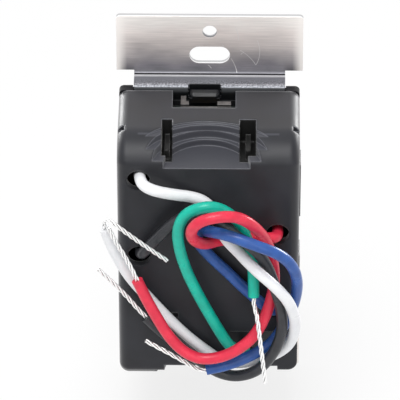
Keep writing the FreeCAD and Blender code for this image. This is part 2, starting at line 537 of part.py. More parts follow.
def housing():
    end = HOUSING_HALF_HEIGHT
    beyond = 6.0
    shallow = SHOULDER_START - 4.3
    recess_front = RECESS_FLOOR - 1.7
    deep = HOUSING_REAR - WALL
    narrow_z = end - 7.7
    hollow = [
        slab(0, INNER_X, PLATE_REAR - 1, shallow, 0, end - WALL),
        slab(0, INNER_X, PLATE_REAR - 1, recess_front, 0, narrow_z),
        box(RECESS_X + WALL, INNER_X, recess_front - 1, deep, -narrow_z, narrow_z),
        box(-INNER_X, RECESS_X + WALL + 0.1, recess_front - 1, deep, RECESS_Z + 1.85, narrow_z),
        box(-11.6, -6.4, shallow - 0.2, recess_front, -end + 3.3, -narrow_z + 0.8),
    ]
    block = cut(housing_block(), hollow)

    bowl = [rod_z(BOWL_X, HOUSING_REAR + back, r, end - depth, end + beyond) for back, r, depth in BOWL_STEPS]
    left_slot = box(8.8, 11.3, SLOT_FRONT, SLOT_REAR, end - 6.5, end + beyond)
    right_slot = box(-11.4, -7.5, SLOT_FRONT, SLOT_REAR, end - 6.5, end + beyond)
    corner_x = HOUSING_HALF_WIDTH - 1.7
    corner = box(corner_x, corner_x + beyond, SHOULDER_START - 1, SHOULDER_START + 1, end - 1.7, end + beyond)
    window = box(LATCH_X + 0.1 - WINDOW_HALF_WIDTH, LATCH_X + 0.1 + WINDOW_HALF_WIDTH,
                 PLATE_REAR - 1, WINDOW_REAR, end - 2.5, end + beyond)
    both_ends = bowl + [left_slot, corner, flip_x(corner), window]
    relief = both_ends + [right_slot] + [flip_z(tool) for tool in both_ends]
    groove_x = HOUSING_HALF_WIDTH - 7.3
    groove = box(groove_x - 2.4, groove_x + 2.4, PLATE_REAR - 1, HOUSING_REAR + beyond, -end - beyond, -end + 1.6)
    relief += [groove, flip_x(groove)]
    relief.append(box(-HOUSING_HALF_WIDTH - beyond, RECESS_X, RECESS_FLOOR, HOUSING_REAR + beyond,
                      -end - beyond, RECESS_Z))
    relief.append(slab(8.2, 0.8, HOUSING_REAR - 1.4, HOUSING_REAR + beyond, -14.3, 0.8))
    relief += [rod_y(x, z, WIRE_HOLE_R, deep - 1, HOUSING_REAR + beyond) for x, z in WIRE_HOLES]
    relief.append(rod_y(*EARTH_HOLE, INSULATION / 2 + 0.5, recess_front - 4, RECESS_FLOOR + 4))
    block = cut(block, relief)

    ribs = [slab(x, 0.6, SLOT_FRONT + 0.6, SLOT_REAR - 2, end - 5.5, 1.6) for x in (10.0, -9.5)]
    pillar_x = HOUSING_HALF_WIDTH - 3.7
    top_z, bottom_z = BOARD_TOP - 2.3, BOARD_BOTTOM + 2.2
    top_x = HOUSING_HALF_WIDTH - 8.5
    pillars = [rod_y(side * top_x, top_z, 1.4, BOARD_REAR, shallow + 0.4) for side in (1, -1)]
    pillars.append(rod_y(pillar_x, bottom_z, 1.4, BOARD_REAR, deep + LOOSE))
    pillars.append(rod_y(-pillar_x, bottom_z, 1.4, BOARD_REAR, recess_front + 0.4))
    strip = box(HOUSING_HALF_WIDTH - 0.3, HOUSING_HALF_WIDTH + 0.4, PLATE_REAR + 4, PLATE_REAR + 11, 6.0, 21.0)
    strips = [strip, flip_x(strip), flip_z(strip), flip_x(flip_z(strip))]
    return join([block] + ribs + pillars + strips)


write("rear_housing", housing())


# Latch clips: a bent metal bar in the window at each end, behind the sub-frame's tongue
def clip():
    left, right = LATCH_X - 6.45, LATCH_X + 5.75
    inner, outer = HOUSING_HALF_HEIGHT - 1.7, HOUSING_HALF_HEIGHT - 0.5
    bar_front = WINDOW_REAR - 1.3
    bar = box(left, right, bar_front, WINDOW_REAR, inner, outer)
    arm = box(right - 1.3, right, PLATE_REAR + 1.5, bar_front + 0.2, inner, outer)
    near = box(right - 2.0, right, bar_front - 1.2, bar_front + 0.2, inner, outer + 0.7)
    far = box(left, left + 3.3, bar_front - 1.2, bar_front + 0.2, inner, outer + 0.7)
    return join([bar, arm, near, far])


write("latch_clips", Part.makeCompound([clip(), flip_z(clip())]))


# Leads. Each is a list of route points chosen by hand: straight runs joined by tangent arcs.
ROUTES = {
    "white": [
        (EYELET_X, 10.9, 25.2), (EYELET_X, 16.0, 25.2), (EYELET_X - 0.4, 21.5, 24.7), (EYELET_X - 0.2, 27.5, 25.4),
        (EYELET_X - 0.4, 32.4, 27.3), (15.5, 35.0, 27.0), (13.0, 36.0, 26.3), (10.1, 35.2, 25.0),
        (7.2, 34.2, 23.8), (4.3, 33.2, 22.7), (1.7, 33.0, 21.7), (-0.4, 33.1, 20.0),
        (-1.8, 33.8, 17.2), (-2.9, 35.2, 14.6), (-4.5, 36.8, 12.3), (-6.9, 37.8, 10.2),
        (-9.8, 40.6, 8.4), (-12.9, 43.4, 6.9), (-16.5, 44.2, 3.8), (-19.9, 43.2, -1.5),
        (-21.5, 40.5, -9.4), (-20.6, 36.6, -18.0), (-17.4, 34.2, -23.4), (-12.8, 33.4, -26.0),
        (-7.8, 33.3, -27.4), (-3.1, 33.1, -26.7), (0.7, 33.0, -23.6), (5.2, 33.1, -19.3),
        (9.8, 33.2, -13.8), (14.9, 33.6, -6.8), (19.2, 34.1, -0.6), (22.6, 35.2, 7.5),
        (24.1, 36.0, 12.4), (24.8, 36.6, 15.6),
    ],
    "black": [
        (EYELET_X, 10.9, 3.0), (EYELET_X, 16.0, 3.0), (EYELET_X - 0.4, 21.5, 2.5), (EYELET_X - 0.2, 27.5, 3.2),
        (EYELET_X - 0.4, 32.2, 4.6), (14.9, 33.9, 7.5), (12.6, 34.7, 11.0), (10.1, 35.0, 14.3),
        (7.5, 35.4, 17.2), (4.6, 36.0, 19.4), (1.6, 36.4, 20.0), (-0.7, 36.8, 19.2),
        (-3.1, 37.6, 17.9), (-5.6, 39.0, 16.3), (-8.7, 39.5, 14.1), (-12.0, 39.9, 11.3),
        (-14.5, 40.0, 6.9), (-16.3, 40.0, 0.6), (-17.7, 39.6, -5.3), (-18.2, 38.9, -11.3),
        (-17.5, 39.0, -16.1), (-15.7, 38.1, -21.2), (-12.6, 37.0, -26.6), (-7.9, 35.8, -29.6),
        (-3.4, 35.2, -29.4), (0.9, 35.6, -26.0), (4.9, 35.9, -21.9), (9.5, 35.5, -17.9),
        (12.6, 34.4, -15.7), (15.2, 33.9, -12.9),
    ],
    "red": [
        (-EYELET_X, 10.9, 9.8), (-EYELET_X, 16.0, 9.8), (0.4 - EYELET_X, 21.5, 9.3), (0.1 - EYELET_X, 27.5, 9.8),
        (-EYELET_X, 31.9, 10.2), (-15.4, 33.7, 10.9), (-12.6, 33.9, 11.2), (-9.8, 33.0, 10.5),
        (-6.9, 33.0, 10.1), (-4.4, 33.3, 10.1), (-2.4, 34.2, 10.5), (-0.8, 35.8, 11.0),
        (0.9, 38.0, 12.1), (3.1, 40.8, 14.9), (4.1, 43.2, 18.6), (3.5, 45.1, 22.1),
        (1.8, 45.9, 24.3), (-0.9, 46.0, 25.4), (-4.6, 45.3, 25.5), (-7.9, 43.9, 24.1),
        (-11.4, 41.7, 19.8), (-14.2, 38.2, 13.3), (-15.7, 36.2, 6.2), (-16.2, 36.0, 0.0),
        (-15.4, 36.9, -4.9), (-13.7, 38.5, -10.2), (-10.9, 39.8, -14.8), (-6.9, 40.8, -17.9),
        (-2.5, 40.9, -20.1), (2.0, 40.7, -20.6), (5.9, 40.3, -18.7), (9.5, 39.7, -14.6),
        (12.8, 39.2, -8.3), (15.4, 38.9, -2.7), (17.1, 38.6, 1.6),
    ],
    "green": [
        (-9.2, 11.0, EARTH_Z), (-9.2, 14.8, EARTH_Z), (-9.1, 19.0, EARTH_Z + 0.9), (-9.0, 23.2, EARTH_Z + 2.4),
        (-9.0, 27.2, EARTH_Z + 2.9), (-8.1, 30.7, -24.9), (-6.6, 33.6, -22.8), (-4.9, 34.9, -20.3),
        (-3.0, 35.0, -16.7), (-0.1, 35.1, -10.6), (2.9, 36.0, -3.3), (5.4, 36.8, 3.7),
        (7.1, 38.2, 11.6), (7.3, 39.4, 17.8), (5.5, 40.2, 22.4), (2.4, 40.7, 24.5),
        (-1.0, 40.5, 25.0), (-4.1, 39.4, 23.0), (-7.1, 36.3, 18.0), (-9.3, 36.2, 13.1),
        (-10.5, 36.4, 8.1), (-11.1, 36.8, 2.1), (-11.1, 37.9, -3.4),
    ],
    "blue": [
        (-EYELET_X, 10.9, -12.5), (-EYELET_X, 16.0, -12.5), (0.4 - EYELET_X, 21.5, -13.1), (0.1 - EYELET_X, 27.5, -12.4),
        (-0.1 - EYELET_X, 31.9, -11.9), (-15.6, 33.8, -10.6), (-13.2, 34.0, -8.7), (-10.8, 33.2, -6.6),
        (-8.3, 33.0, -4.1), (-4.8, 33.0, 0.1), (-1.5, 33.0, 3.7), (1.0, 33.0, 6.8),
        (2.5, 33.1, 9.2), (2.7, 33.9, 11.8), (1.7, 35.3, 14.5), (-0.6, 39.7, 17.0),
        (-3.3, 42.5, 18.4), (-6.8, 44.0, 18.2), (-10.1, 44.7, 17.2), (-13.5, 45.1, 16.0),
        (-16.6, 44.7, 14.3), (-19.5, 43.3, 10.9), (-21.3, 41.3, 5.9), (-21.7, 38.6, -0.5),
        (-20.9, 35.8, -7.3), (-18.9, 34.4, -14.2), (-16.0, 34.2, -20.0), (-12.3, 35.7, -22.0),
        (-8.2, 37.2, -23.4), (-3.9, 38.4, -24.4), (0.4, 38.8, -25.2),
    ],
}

# The bare twisted ends carry on from the last point of each lead
BARE_ROUTES = {
    "white": [
        (24.8, 36.6, 15.6), (25.15, 36.9, 17.2), (25.2, 38.3, 19.0), (24.5, 40.2, 20.9),
        (23.2, 41.2, 20.9), (21.3, 41.0, 19.0), (18.0, 39.8, 15.2), (14.0, 38.2, 10.6),
        (9.9, 36.8, 6.3),
    ],
    "black": [(15.2, 33.9, -12.9), (17.28, 33.5, -10.66), (20.3, 33.6, -6.2), (23.6, 34.2, -1.9), (26.9, 34.8, 2.3)],
    "red": [(17.1, 38.6, 1.6), (18.46, 38.36, 5.04), (20.5, 38.7, 9.8), (22.5, 39.0, 13.9), (23.9, 39.2, 17.6)],
    "green": [
        (-11.1, 37.9, -3.4), (-11.1, 38.34, -5.6), (-11.9, 40.4, -7.2), (-12.4, 42.2, -10.4),
        (-13.0, 43.0, -15.9), (-13.6, 43.3, -21.2), (-14.0, 43.2, -25.8),
    ],
    "blue": [(0.4, 38.8, -25.2), (2.12, 38.96, -25.52), (4.9, 38.2, -23.9), (8.4, 37.3, -22.1), (12.0, 36.2, -20.6),
             (15.3, 35.6, -18.9)],
}


def cord(name, points, diameter):
    """Sweep a round section along straight runs joined by tangent arcs."""
    spots = [vec(*p) for p in points]
    edges = []
    at = spots[0]
    tightest = 1e9
    for before, corner, after in zip(spots, spots[1:], spots[2:]):
        come = corner - before
        leave = after - corner
        shorter = min(come.Length, leave.Length)
        turn = come.getAngle(leave)
        back = BEND_SHARE * shorter
        radius = back / math.tan(turn / 2)
        tightest = min(tightest, radius)
        come.normalize()
        leave.normalize()
        start = corner - come * back
        end = corner + leave * back
        inward = leave - come
        inward.normalize()
        centre = corner + inward * (radius / math.cos(turn / 2))
        middle = centre - inward * radius
        edges.append(Part.makeLine(at, start))
        edges.append(Part.Arc(start, middle, end).toShape())
        at = end
    edges.append(Part.makeLine(at, spots[-1]))
    path = Part.Wire(edges)
    heading = spots[1] - spots[0]
    circle = Part.Wire([Part.makeCircle(diameter / 2, spots[0], heading)])
    tube = path.makePipeShell([circle], True, False)
    expected = math.pi * (diameter / 2) ** 2 * path.Length
    print("%-20s length %.1f tightest radius %.2f volume ratio %.4f"
          % (name, path.Length, tightest, tube.Volume / expected))
    return tube


for colour, route in ROUTES.items():
    write("wire_" + colour, cord("wire_" + colour, route, INSULATION))
for colour, route in BARE_ROUTES.items():
    write("bare_" + colour, cord("bare_" + colour, route, CONDUCTOR))
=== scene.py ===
"""A wall light switch seen from behind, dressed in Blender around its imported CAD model.

The steel strap, rear housing, latch clips, white front and inner components keep their CAD shapes and get
procedural finishes. A copy of the black sub-frame with shorter latch tongues stands for the CAD one. The
five insulated leads and their bare twisted ends are modelled here.
Metres, +Z up, the paddle faces -Y, and the camera looks down at the back from +Y.
"""

import json
import math

import bmesh
import bpy
from mathutils import Matrix, Vector


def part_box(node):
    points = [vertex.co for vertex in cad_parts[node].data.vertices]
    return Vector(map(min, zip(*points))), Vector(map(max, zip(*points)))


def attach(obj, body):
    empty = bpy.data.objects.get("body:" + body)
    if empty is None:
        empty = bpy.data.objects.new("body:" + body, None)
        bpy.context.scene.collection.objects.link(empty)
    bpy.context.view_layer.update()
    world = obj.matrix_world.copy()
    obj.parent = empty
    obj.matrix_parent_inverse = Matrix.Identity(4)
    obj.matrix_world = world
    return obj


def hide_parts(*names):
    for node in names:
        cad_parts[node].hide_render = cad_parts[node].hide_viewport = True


bl_info = {
    "name": "Wall switch from behind",
    "version": (1, 0, 0),
    "blender": (4, 5, 0),
    "location": "3D View > Sidebar > Wall switch",
    "description": "Finishes, leads, bare ends and a pale studio for a wall switch",
    "category": "Object",
}

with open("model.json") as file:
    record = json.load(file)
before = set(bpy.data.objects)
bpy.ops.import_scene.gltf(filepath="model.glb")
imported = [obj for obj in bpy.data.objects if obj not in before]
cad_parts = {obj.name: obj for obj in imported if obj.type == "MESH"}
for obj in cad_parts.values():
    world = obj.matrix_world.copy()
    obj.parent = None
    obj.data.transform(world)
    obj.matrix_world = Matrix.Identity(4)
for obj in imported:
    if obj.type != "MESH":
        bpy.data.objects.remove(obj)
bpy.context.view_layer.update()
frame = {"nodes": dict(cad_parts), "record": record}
NODES = frame["nodes"]
SLOTS = {part["node"]: part["material_slot"] for part in frame["record"]["subparts"]}

MM = 0.001

# Finishes by the record's material slot, filled when the first one is asked for
MATERIALS = {}

# Collection of the pieces that the rim lamps light: the housing, the leads and their bare ends
RIMMED = "lit by the rim lamps"

# The corners of the strap, and the height and radius of the threaded holes in its ears
STRAP_LOW, STRAP_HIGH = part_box("mounting_strap")
SCREWS = next(mount["dims"] for mount in frame["record"]["mounts"] if mount["name"] == "faceplate_screws")
HOLE_HEIGHT = SCREWS["spacing_y_mm"] / 2 * MM
HOLE_RADIUS = SCREWS["hole_r_mm"] * MM

# The height where the flat of each ear begins
EAR_START = 36.95 * MM

# How far back the tones of a flange run, and where its speckle begins and is full
FLANGE_DEPTH = 6 * MM
SPECKLE_START = 2.4 * MM
SPECKLE_FULL = 4.4 * MM

# How far back the painted shade on the plate under the housing's edge begins, in general and in the latch
# window, and the window's sides
DARK_DEPTH = 5.55 * MM
WINDOW_DARK_DEPTH = 4.6 * MM
WINDOW_SIDES = (-2.6 * MM, 4.9 * MM)

# Hair scratches on the upper ear: start, middle and end of each as x and z in millimetres
SCRATCHES = (
    ((-5.17, 40.7), (-6.1, 38.75), (-6.6, 36.9)),
    ((-8.3, 42.4), (-9.61, 41.17), (-11.26, 38.79)),
    ((-7.6, 41.8), (-7.9, 42.2), (-8.3, 42.4)),
    ((-11.93, 44.8), (-12.2, 42.4), (-11.38, 38.94)),
    ((-6.31, 49.59), (-6.8, 47.95), (-7.03, 46.01)),
    ((-3.07, 44.59), (-3.3, 44.3), (-3.41, 43.89)),
    ((0.4, 38.71), (-0.05, 38.3), (-0.39, 37.75)),
)
SCRATCH_WIDTH = 0.14 * MM

# Painted light in the housing's recess and painted shade in its slots, in mm: the least and greatest x, y
# and z
PAINTED_LIGHT_RECESS_BOX = ((-17, 17), (19.9, 31.25), (29.3, 35.3))
SLOT_SHADE_BOXES = (
    ((8.7, 11.4), (17, 28.6), (26, 35.3)),
    ((-11.5, -7.4), (17, 28.6), (26, 35.3)),
)

# The heights between which the housing's sharp edges get thin painted highlights: about the shoulders
EDGE_HIGHLIGHT_HEIGHTS = (28.6 * MM, 40 * MM)

# The tips of the sub-frame's latch tongues lie beyond this height and depth, and are cut back this much
TIP_HEIGHT = 33 * MM
TIP_DEPTH = 9 * MM
TIP_CUT = 1.6 * MM

# The tinned strands of each bare end are twisted in this many bunches
BUNCHES = 3

# The second tone of each lead's insulation, as sRGB hex. The first is a user's setting.
INSULATION_SHADES = {
    "white": "#e2e3e6",
    "black": "#2e2f33",
    "red": "#d02c45",
    "green": "#08a992",
    "blue": "#2a4f92",
}

# How far the photograph's frame is shifted off the middle of the strap, in frame widths
FRAME_SHIFT = (-0.02425, -0.013)

# The floor's paper scatters this share of the light, and this share of what the eye sees is plain white
PAPER_GREY = 0.84
PAPER_GLOW = 0.78

# The leads' route points, from the eyelet inside to the cut end of the insulation
LEAD_ROUTES = {
    "white": [
        (0.0168, 0.0109, 0.0252), (0.0168, 0.016, 0.0252), (0.0164, 0.0215, 0.0247),
        (0.0166, 0.0275, 0.0254), (0.0164, 0.0324, 0.0273), (0.0155, 0.035, 0.027),
        (0.013, 0.036, 0.0263), (0.0101, 0.0352, 0.025), (0.0072, 0.0342, 0.0238),
        (0.0043, 0.0332, 0.0227), (0.0017, 0.033, 0.0217), (-0.0004, 0.0331, 0.02),
        (-0.0018, 0.0338, 0.0172), (-0.0029, 0.0352, 0.0146), (-0.0045, 0.0368, 0.0123),
        (-0.0069, 0.0378, 0.0102), (-0.0098, 0.0406, 0.0084), (-0.0129, 0.0434, 0.0069),
        (-0.0165, 0.0442, 0.0038), (-0.0199, 0.0432, -0.0015), (-0.0215, 0.0405, -0.0094),
        (-0.0206, 0.0366, -0.018), (-0.0174, 0.0342, -0.0234), (-0.0128, 0.0334, -0.026),
        (-0.0078, 0.0333, -0.0274), (-0.0031, 0.0331, -0.0267), (0.0007, 0.033, -0.0236),
        (0.0052, 0.0331, -0.0193), (0.0098, 0.0332, -0.0138), (0.0149, 0.0336, -0.0068),
        (0.0192, 0.0341, -0.0006), (0.0226, 0.0352, 0.0075), (0.0241, 0.036, 0.0124),
        (0.0248, 0.0366, 0.0156),
    ],
    "black": [
        (0.0168, 0.0109, 0.003), (0.0168, 0.016, 0.003), (0.0164, 0.0215, 0.0025),
        (0.0166, 0.0275, 0.0032), (0.0164, 0.0322, 0.0046), (0.0149, 0.0339, 0.0075),
        (0.0126, 0.0347, 0.011), (0.0101, 0.035, 0.0143), (0.0075, 0.0354, 0.0172),
        (0.0046, 0.036, 0.0194), (0.0016, 0.0364, 0.02), (-0.0007, 0.0368, 0.0192),
        (-0.0031, 0.0376, 0.0179), (-0.0056, 0.039, 0.0163), (-0.0087, 0.0395, 0.0141),
        (-0.012, 0.0399, 0.0113), (-0.0145, 0.04, 0.0069), (-0.0163, 0.04, 0.0006),
        (-0.0177, 0.0396, -0.0053), (-0.0182, 0.0389, -0.0113), (-0.0175, 0.039, -0.0161),
        (-0.0157, 0.0381, -0.0212), (-0.0126, 0.037, -0.0266), (-0.0079, 0.0358, -0.0296),
        (-0.0034, 0.0352, -0.0294), (0.0009, 0.0356, -0.026), (0.0049, 0.0359, -0.0219),
        (0.0095, 0.0355, -0.0179), (0.0126, 0.0344, -0.0157), (0.0152, 0.0339, -0.0129),
    ],
    "red": [
        (-0.0168, 0.0109, 0.0098), (-0.0168, 0.016, 0.0098), (-0.0164, 0.0215, 0.0093),
        (-0.0167, 0.0275, 0.0098), (-0.0168, 0.0319, 0.0102), (-0.0154, 0.0337, 0.0109),
        (-0.0126, 0.0339, 0.0112), (-0.0098, 0.033, 0.0105), (-0.0069, 0.033, 0.0101),
        (-0.0044, 0.0333, 0.0101), (-0.0024, 0.0342, 0.0105), (-0.0008, 0.0358, 0.011),
        (0.0009, 0.038, 0.0121), (0.0031, 0.0408, 0.0149), (0.0041, 0.0432, 0.0186),
        (0.0035, 0.0451, 0.0221), (0.0018, 0.0459, 0.0243), (-0.0009, 0.046, 0.0254),
        (-0.0046, 0.0453, 0.0255), (-0.0079, 0.0439, 0.0241), (-0.0114, 0.0417, 0.0198),
        (-0.0142, 0.0382, 0.0133), (-0.0157, 0.0362, 0.0062), (-0.0162, 0.036, 0.0),
        (-0.0154, 0.0369, -0.0049), (-0.0137, 0.0385, -0.0102), (-0.0109, 0.0398, -0.0148),
        (-0.0069, 0.0408, -0.0179), (-0.0025, 0.0409, -0.0201), (0.002, 0.0407, -0.0206),
        (0.0059, 0.0403, -0.0187), (0.0095, 0.0397, -0.0146), (0.0128, 0.0392, -0.0083),
        (0.0154, 0.0389, -0.0027), (0.0171, 0.0386, 0.0016),
    ],
    "green": [
        (-0.0092, 0.011, -0.0306), (-0.0092, 0.0148, -0.0306), (-0.0091, 0.019, -0.0297),
        (-0.009, 0.0232, -0.0282), (-0.009, 0.0272, -0.0277), (-0.0081, 0.0307, -0.0249),
        (-0.0066, 0.0336, -0.0228), (-0.0049, 0.0349, -0.0203), (-0.003, 0.035, -0.0167),
        (-0.0001, 0.0351, -0.0106), (0.0029, 0.036, -0.0033), (0.0054, 0.0368, 0.0037),
        (0.0071, 0.0382, 0.0116), (0.0073, 0.0394, 0.0178), (0.0055, 0.0402, 0.0224),
        (0.0024, 0.0407, 0.0245), (-0.001, 0.0405, 0.025), (-0.0041, 0.0394, 0.023),
        (-0.0071, 0.0363, 0.018), (-0.0093, 0.0362, 0.0131), (-0.0105, 0.0364, 0.0081),
        (-0.0111, 0.0368, 0.0021), (-0.0111, 0.0379, -0.0034),
    ],
    "blue": [
        (-0.0168, 0.0109, -0.0125), (-0.0168, 0.016, -0.0125), (-0.0164, 0.0215, -0.0131),
        (-0.0167, 0.0275, -0.0124), (-0.0169, 0.0319, -0.0119), (-0.0156, 0.0338, -0.0106),
        (-0.0132, 0.034, -0.0087), (-0.0108, 0.0332, -0.0066), (-0.0083, 0.033, -0.0041),
        (-0.0048, 0.033, 0.0001), (-0.0015, 0.033, 0.0037), (0.001, 0.033, 0.0068),
        (0.0025, 0.0331, 0.0092), (0.0027, 0.0339, 0.0118), (0.0017, 0.0353, 0.0145),
        (-0.0006, 0.0397, 0.017), (-0.0033, 0.0425, 0.0184), (-0.0068, 0.044, 0.0182),
        (-0.0101, 0.0447, 0.0172), (-0.0135, 0.0451, 0.016), (-0.0166, 0.0447, 0.0143),
        (-0.0195, 0.0433, 0.0109), (-0.0213, 0.0413, 0.0059), (-0.0217, 0.0386, -0.0005),
        (-0.0209, 0.0358, -0.0073), (-0.0189, 0.0344, -0.0142), (-0.016, 0.0342, -0.02),
        (-0.0123, 0.0357, -0.022), (-0.0082, 0.0372, -0.0234), (-0.0039, 0.0384, -0.0244),
        (0.0004, 0.0388, -0.0252),
    ],
}

# The bare twisted ends carry on from the last point of each lead
BARE_ROUTES = {
    "white": [
        (0.0248, 0.0366, 0.0156), (0.02515, 0.0369, 0.0172), (0.0252, 0.0383, 0.019),
        (0.0245, 0.0402, 0.0209), (0.0232, 0.0412, 0.0209), (0.0213, 0.041, 0.019),
        (0.018, 0.0398, 0.0152), (0.014, 0.0382, 0.0106), (0.0099, 0.0368, 0.0063),
    ],
    "black": [
        (0.0152, 0.0339, -0.0129), (0.01728, 0.0335, -0.01066), (0.0203, 0.0336, -0.0062),
        (0.0236, 0.0342, -0.0019), (0.0269, 0.0348, 0.0023),
    ],
    "red": [
        (0.0171, 0.0386, 0.0016), (0.01846, 0.03836, 0.00504), (0.0205, 0.0387, 0.0098),
        (0.0225, 0.039, 0.0139), (0.0239, 0.0392, 0.0176),
    ],
    "green": [
        (-0.0111, 0.0379, -0.0034), (-0.0111, 0.03834, -0.0056), (-0.0119, 0.0404, -0.0072),
        (-0.0124, 0.0422, -0.0104), (-0.013, 0.043, -0.0159), (-0.0136, 0.0433, -0.0212),
        (-0.014, 0.0432, -0.0258),
    ],
    "blue": [
        (0.0004, 0.0388, -0.0252), (0.00212, 0.03896, -0.02552), (0.0049, 0.0382, -0.0239),
        (0.0084, 0.0373, -0.0221), (0.012, 0.0362, -0.0206), (0.0153, 0.0356, -0.0189),
    ],
}


def linear(hex_colour):
    """Turns an sRGB colour such as #3a3a3d into the linear values that shaders take, with full alpha."""
    parts = [int(hex_colour[i:i + 2], 16) / 255 for i in (1, 3, 5)]
    return (*(c / 12.92 if c <= 0.04045 else ((c + 0.055) / 1.055) ** 2.4 for c in parts), 1)


def feed(material, node, links):
    """Links outputs to a node's sockets. A node in place of an output stands for its first one."""
    for socket, source in links.items():
        if isinstance(source, bpy.types.Node):
            source = source.outputs[0]
        material.node_tree.links.new(source, node.inputs[socket])


def add_node(material, kind, values=None, links=None, stops=(), **settings):
    """Adds a shader node with its settings, the values of its sockets, what feeds them and, on a colour
    ramp, its stops: the place and hex tone of each."""
    node = material.node_tree.nodes.new("ShaderNode" + kind)
    for name, value in settings.items():
        setattr(node, name, value)
    for socket, value in (values or {}).items():
        node.inputs[socket].default_value = value
    feed(material, node, links or {})
    if stops:
        tones = node.color_ramp.elements
        for _ in stops[2:]:
            tones.new(1.0)
        for element, (place, tone) in zip(tones, stops):
            element.position = place
            element.color = linear(tone)
    return node


def new_material(name, roughness, metallic=0.0, **sockets):
    """A material and its Principled shader, with what is the same all over set on its sockets."""
    material = bpy.data.materials.new(name)
    material.use_nodes = True
    shader = material.node_tree.nodes["Principled BSDF"]
    shader.inputs["Roughness"].default_value = roughness
    shader.inputs["Metallic"].default_value = metallic
    for socket, value in sockets.items():
        shader.inputs[socket.replace("_", " ")].default_value = value
    return material, shader


def object_pattern(material, size, stretch=(1, 1, 1), detail=2.0):
    """Noise on object coordinates. Size is the real size of one blotch in metres, longer by stretch."""
    where = add_node(material, "TexCoord")
    place = add_node(material, "Mapping", {"Scale": [1 / (size * s) for s in stretch]},
                     {"Vector": where.outputs["Object"]})
    return add_node(material, "TexNoise", {"Scale": 1.0, "Detail": detail}, {"Vector": place})


def wave_scale(spacing):
    """The scale at which a wave texture, which turns 20 radians a unit, has bands this far apart."""
    return 2 * math.pi / (20 * spacing)


def combine(material, operation, first, *others):
    """Folds several patterns or masks into one, such as their product or the largest of them."""
    for other in others:
        first = add_node(material, "Math", links={0: first, 1: other}, operation=operation)
    return first


def inside(material, *ranges):
    """A mask: 1 where each value lies between its two limits, 0 elsewhere."""
    masks = []
    for value, low, high in ranges:
        masks.append(add_node(material, "Math", {1: (low + high) / 2, 2: (high - low) / 2}, {0: value},
                              operation="COMPARE"))
    return combine(material, "MULTIPLY", *masks)


def in_box(material, spot, box):
    """A mask of the object's points inside a box in millimetres."""
    return inside(material, *((spot[axis], low * MM, high * MM) for axis, (low, high) in zip("XYZ", box)))


def paint(material, base, *layers):
    """Lays colours over a base in order, each where its mask is 1. A colour is an output or a hex value."""
    for mask, colour in layers:
        # The colours of a Mix node are its sockets 6 and 7, and output 2
        ends = {6: base, 7: colour}
        values = {socket: linear(end) for socket, end in ends.items() if isinstance(end, str)}
        links = {socket: end for socket, end in ends.items() if not isinstance(end, str)}
        base = add_node(material, "Mix", values, {0: mask, **links}, data_type="RGBA").outputs[2]
    return base


def vary_roughness(material, shader, pattern, low, high):
    """Lets a pattern vary the roughness between two values."""
    rough = add_node(material, "MapRange", {"From Min": 0.3, "From Max": 0.7, "To Min": low, "To Max": high},
                     {"Value": pattern})
    feed(material, shader, {"Roughness": rough})


def add_bump(material, shader, height, depth, edge=0.0):
    """Raises the surface by a pattern. Edge is how far a sharp edge is worn round, in metres."""
    links = {"Height": height}
    if edge:
        links["Normal"] = add_node(material, "Bevel", {"Radius": edge}, samples=6)
    bump = add_node(material, "Bump", {"Strength": 1.0, "Distance": depth}, links)
    feed(material, shader, {"Normal": bump})


def plain_finish(name, tones, roughness, patch, grain, depth, edge=0.0, **sockets):
    """A moulded or coated finish: two close tones in soft patches over a fine grain. Patch and grain are
    the size of one of each, depth is how deep the grain is, and edge how far the edges are worn, in mm."""
    material, shader = new_material(name, roughness, **sockets)
    blotch = object_pattern(material, patch * MM, detail=3.0)
    first, second = tones
    colour = add_node(material, "ValToRGB", links={"Fac": blotch}, stops=((0.35, first), (0.65, second)))
    feed(material, shader, {"Base Color": colour})
    vary_roughness(material, shader, blotch, roughness * 0.88, min(1.0, roughness * 1.12))
    add_bump(material, shader, object_pattern(material, grain * MM), depth * MM, edge * MM)
    return material


def ear_tones(material, across, height, cloud, streak):
    """The flat ears: nearly white at their ends and greyer in uneven clouds towards the bend, partly as
    tarnish and partly as painted reflection, with a painted highlight along the side rims, and finely
    streaked along the way that the sheet was rolled."""
    uneven = add_node(material, "Math", {1: 5 * MM, 2: -2.5 * MM}, {0: cloud}, operation="MULTIPLY_ADD")
    outward = add_node(material, "MapRange", {
        "From Min": EAR_START - 0.55 * MM, "From Max": STRAP_HIGH.z - 1.75 * MM},
        {"Value": combine(material, "ADD", height, uneven)})
    # The ramp from grey by the bend to nearly white at the ends is partly tarnish and partly painted
    # reflection
    zinc = add_node(material, "ValToRGB", links={"Fac": outward}, stops=(
        (0.0, "#6a6a6e"), (0.12, "#8a878d"), (0.3, "#b9b3b5"), (0.55, "#e9e0dd"), (0.8, "#fbf2ee"),
        (1.0, "#fffaf6")))
    lines = add_node(material, "MapRange", {"From Min": 0.3, "From Max": 0.7, "To Min": 0.84},
                     {"Value": streak})
    rolled = add_node(material, "Mix", {0: 1.0}, {6: zinc, 7: lines}, data_type="RGBA",
                      blend_type="MULTIPLY")
    # A painted highlight along the side rims of each ear
    rim = add_node(material, "MapRange", {
        "From Min": STRAP_HIGH.x - 2.55 * MM, "From Max": STRAP_HIGH.x - 0.55 * MM, "To Max": 0.85},
        {"Value": across})
    return paint(material, rolled.outputs[2], (rim, "#fffaf6"))


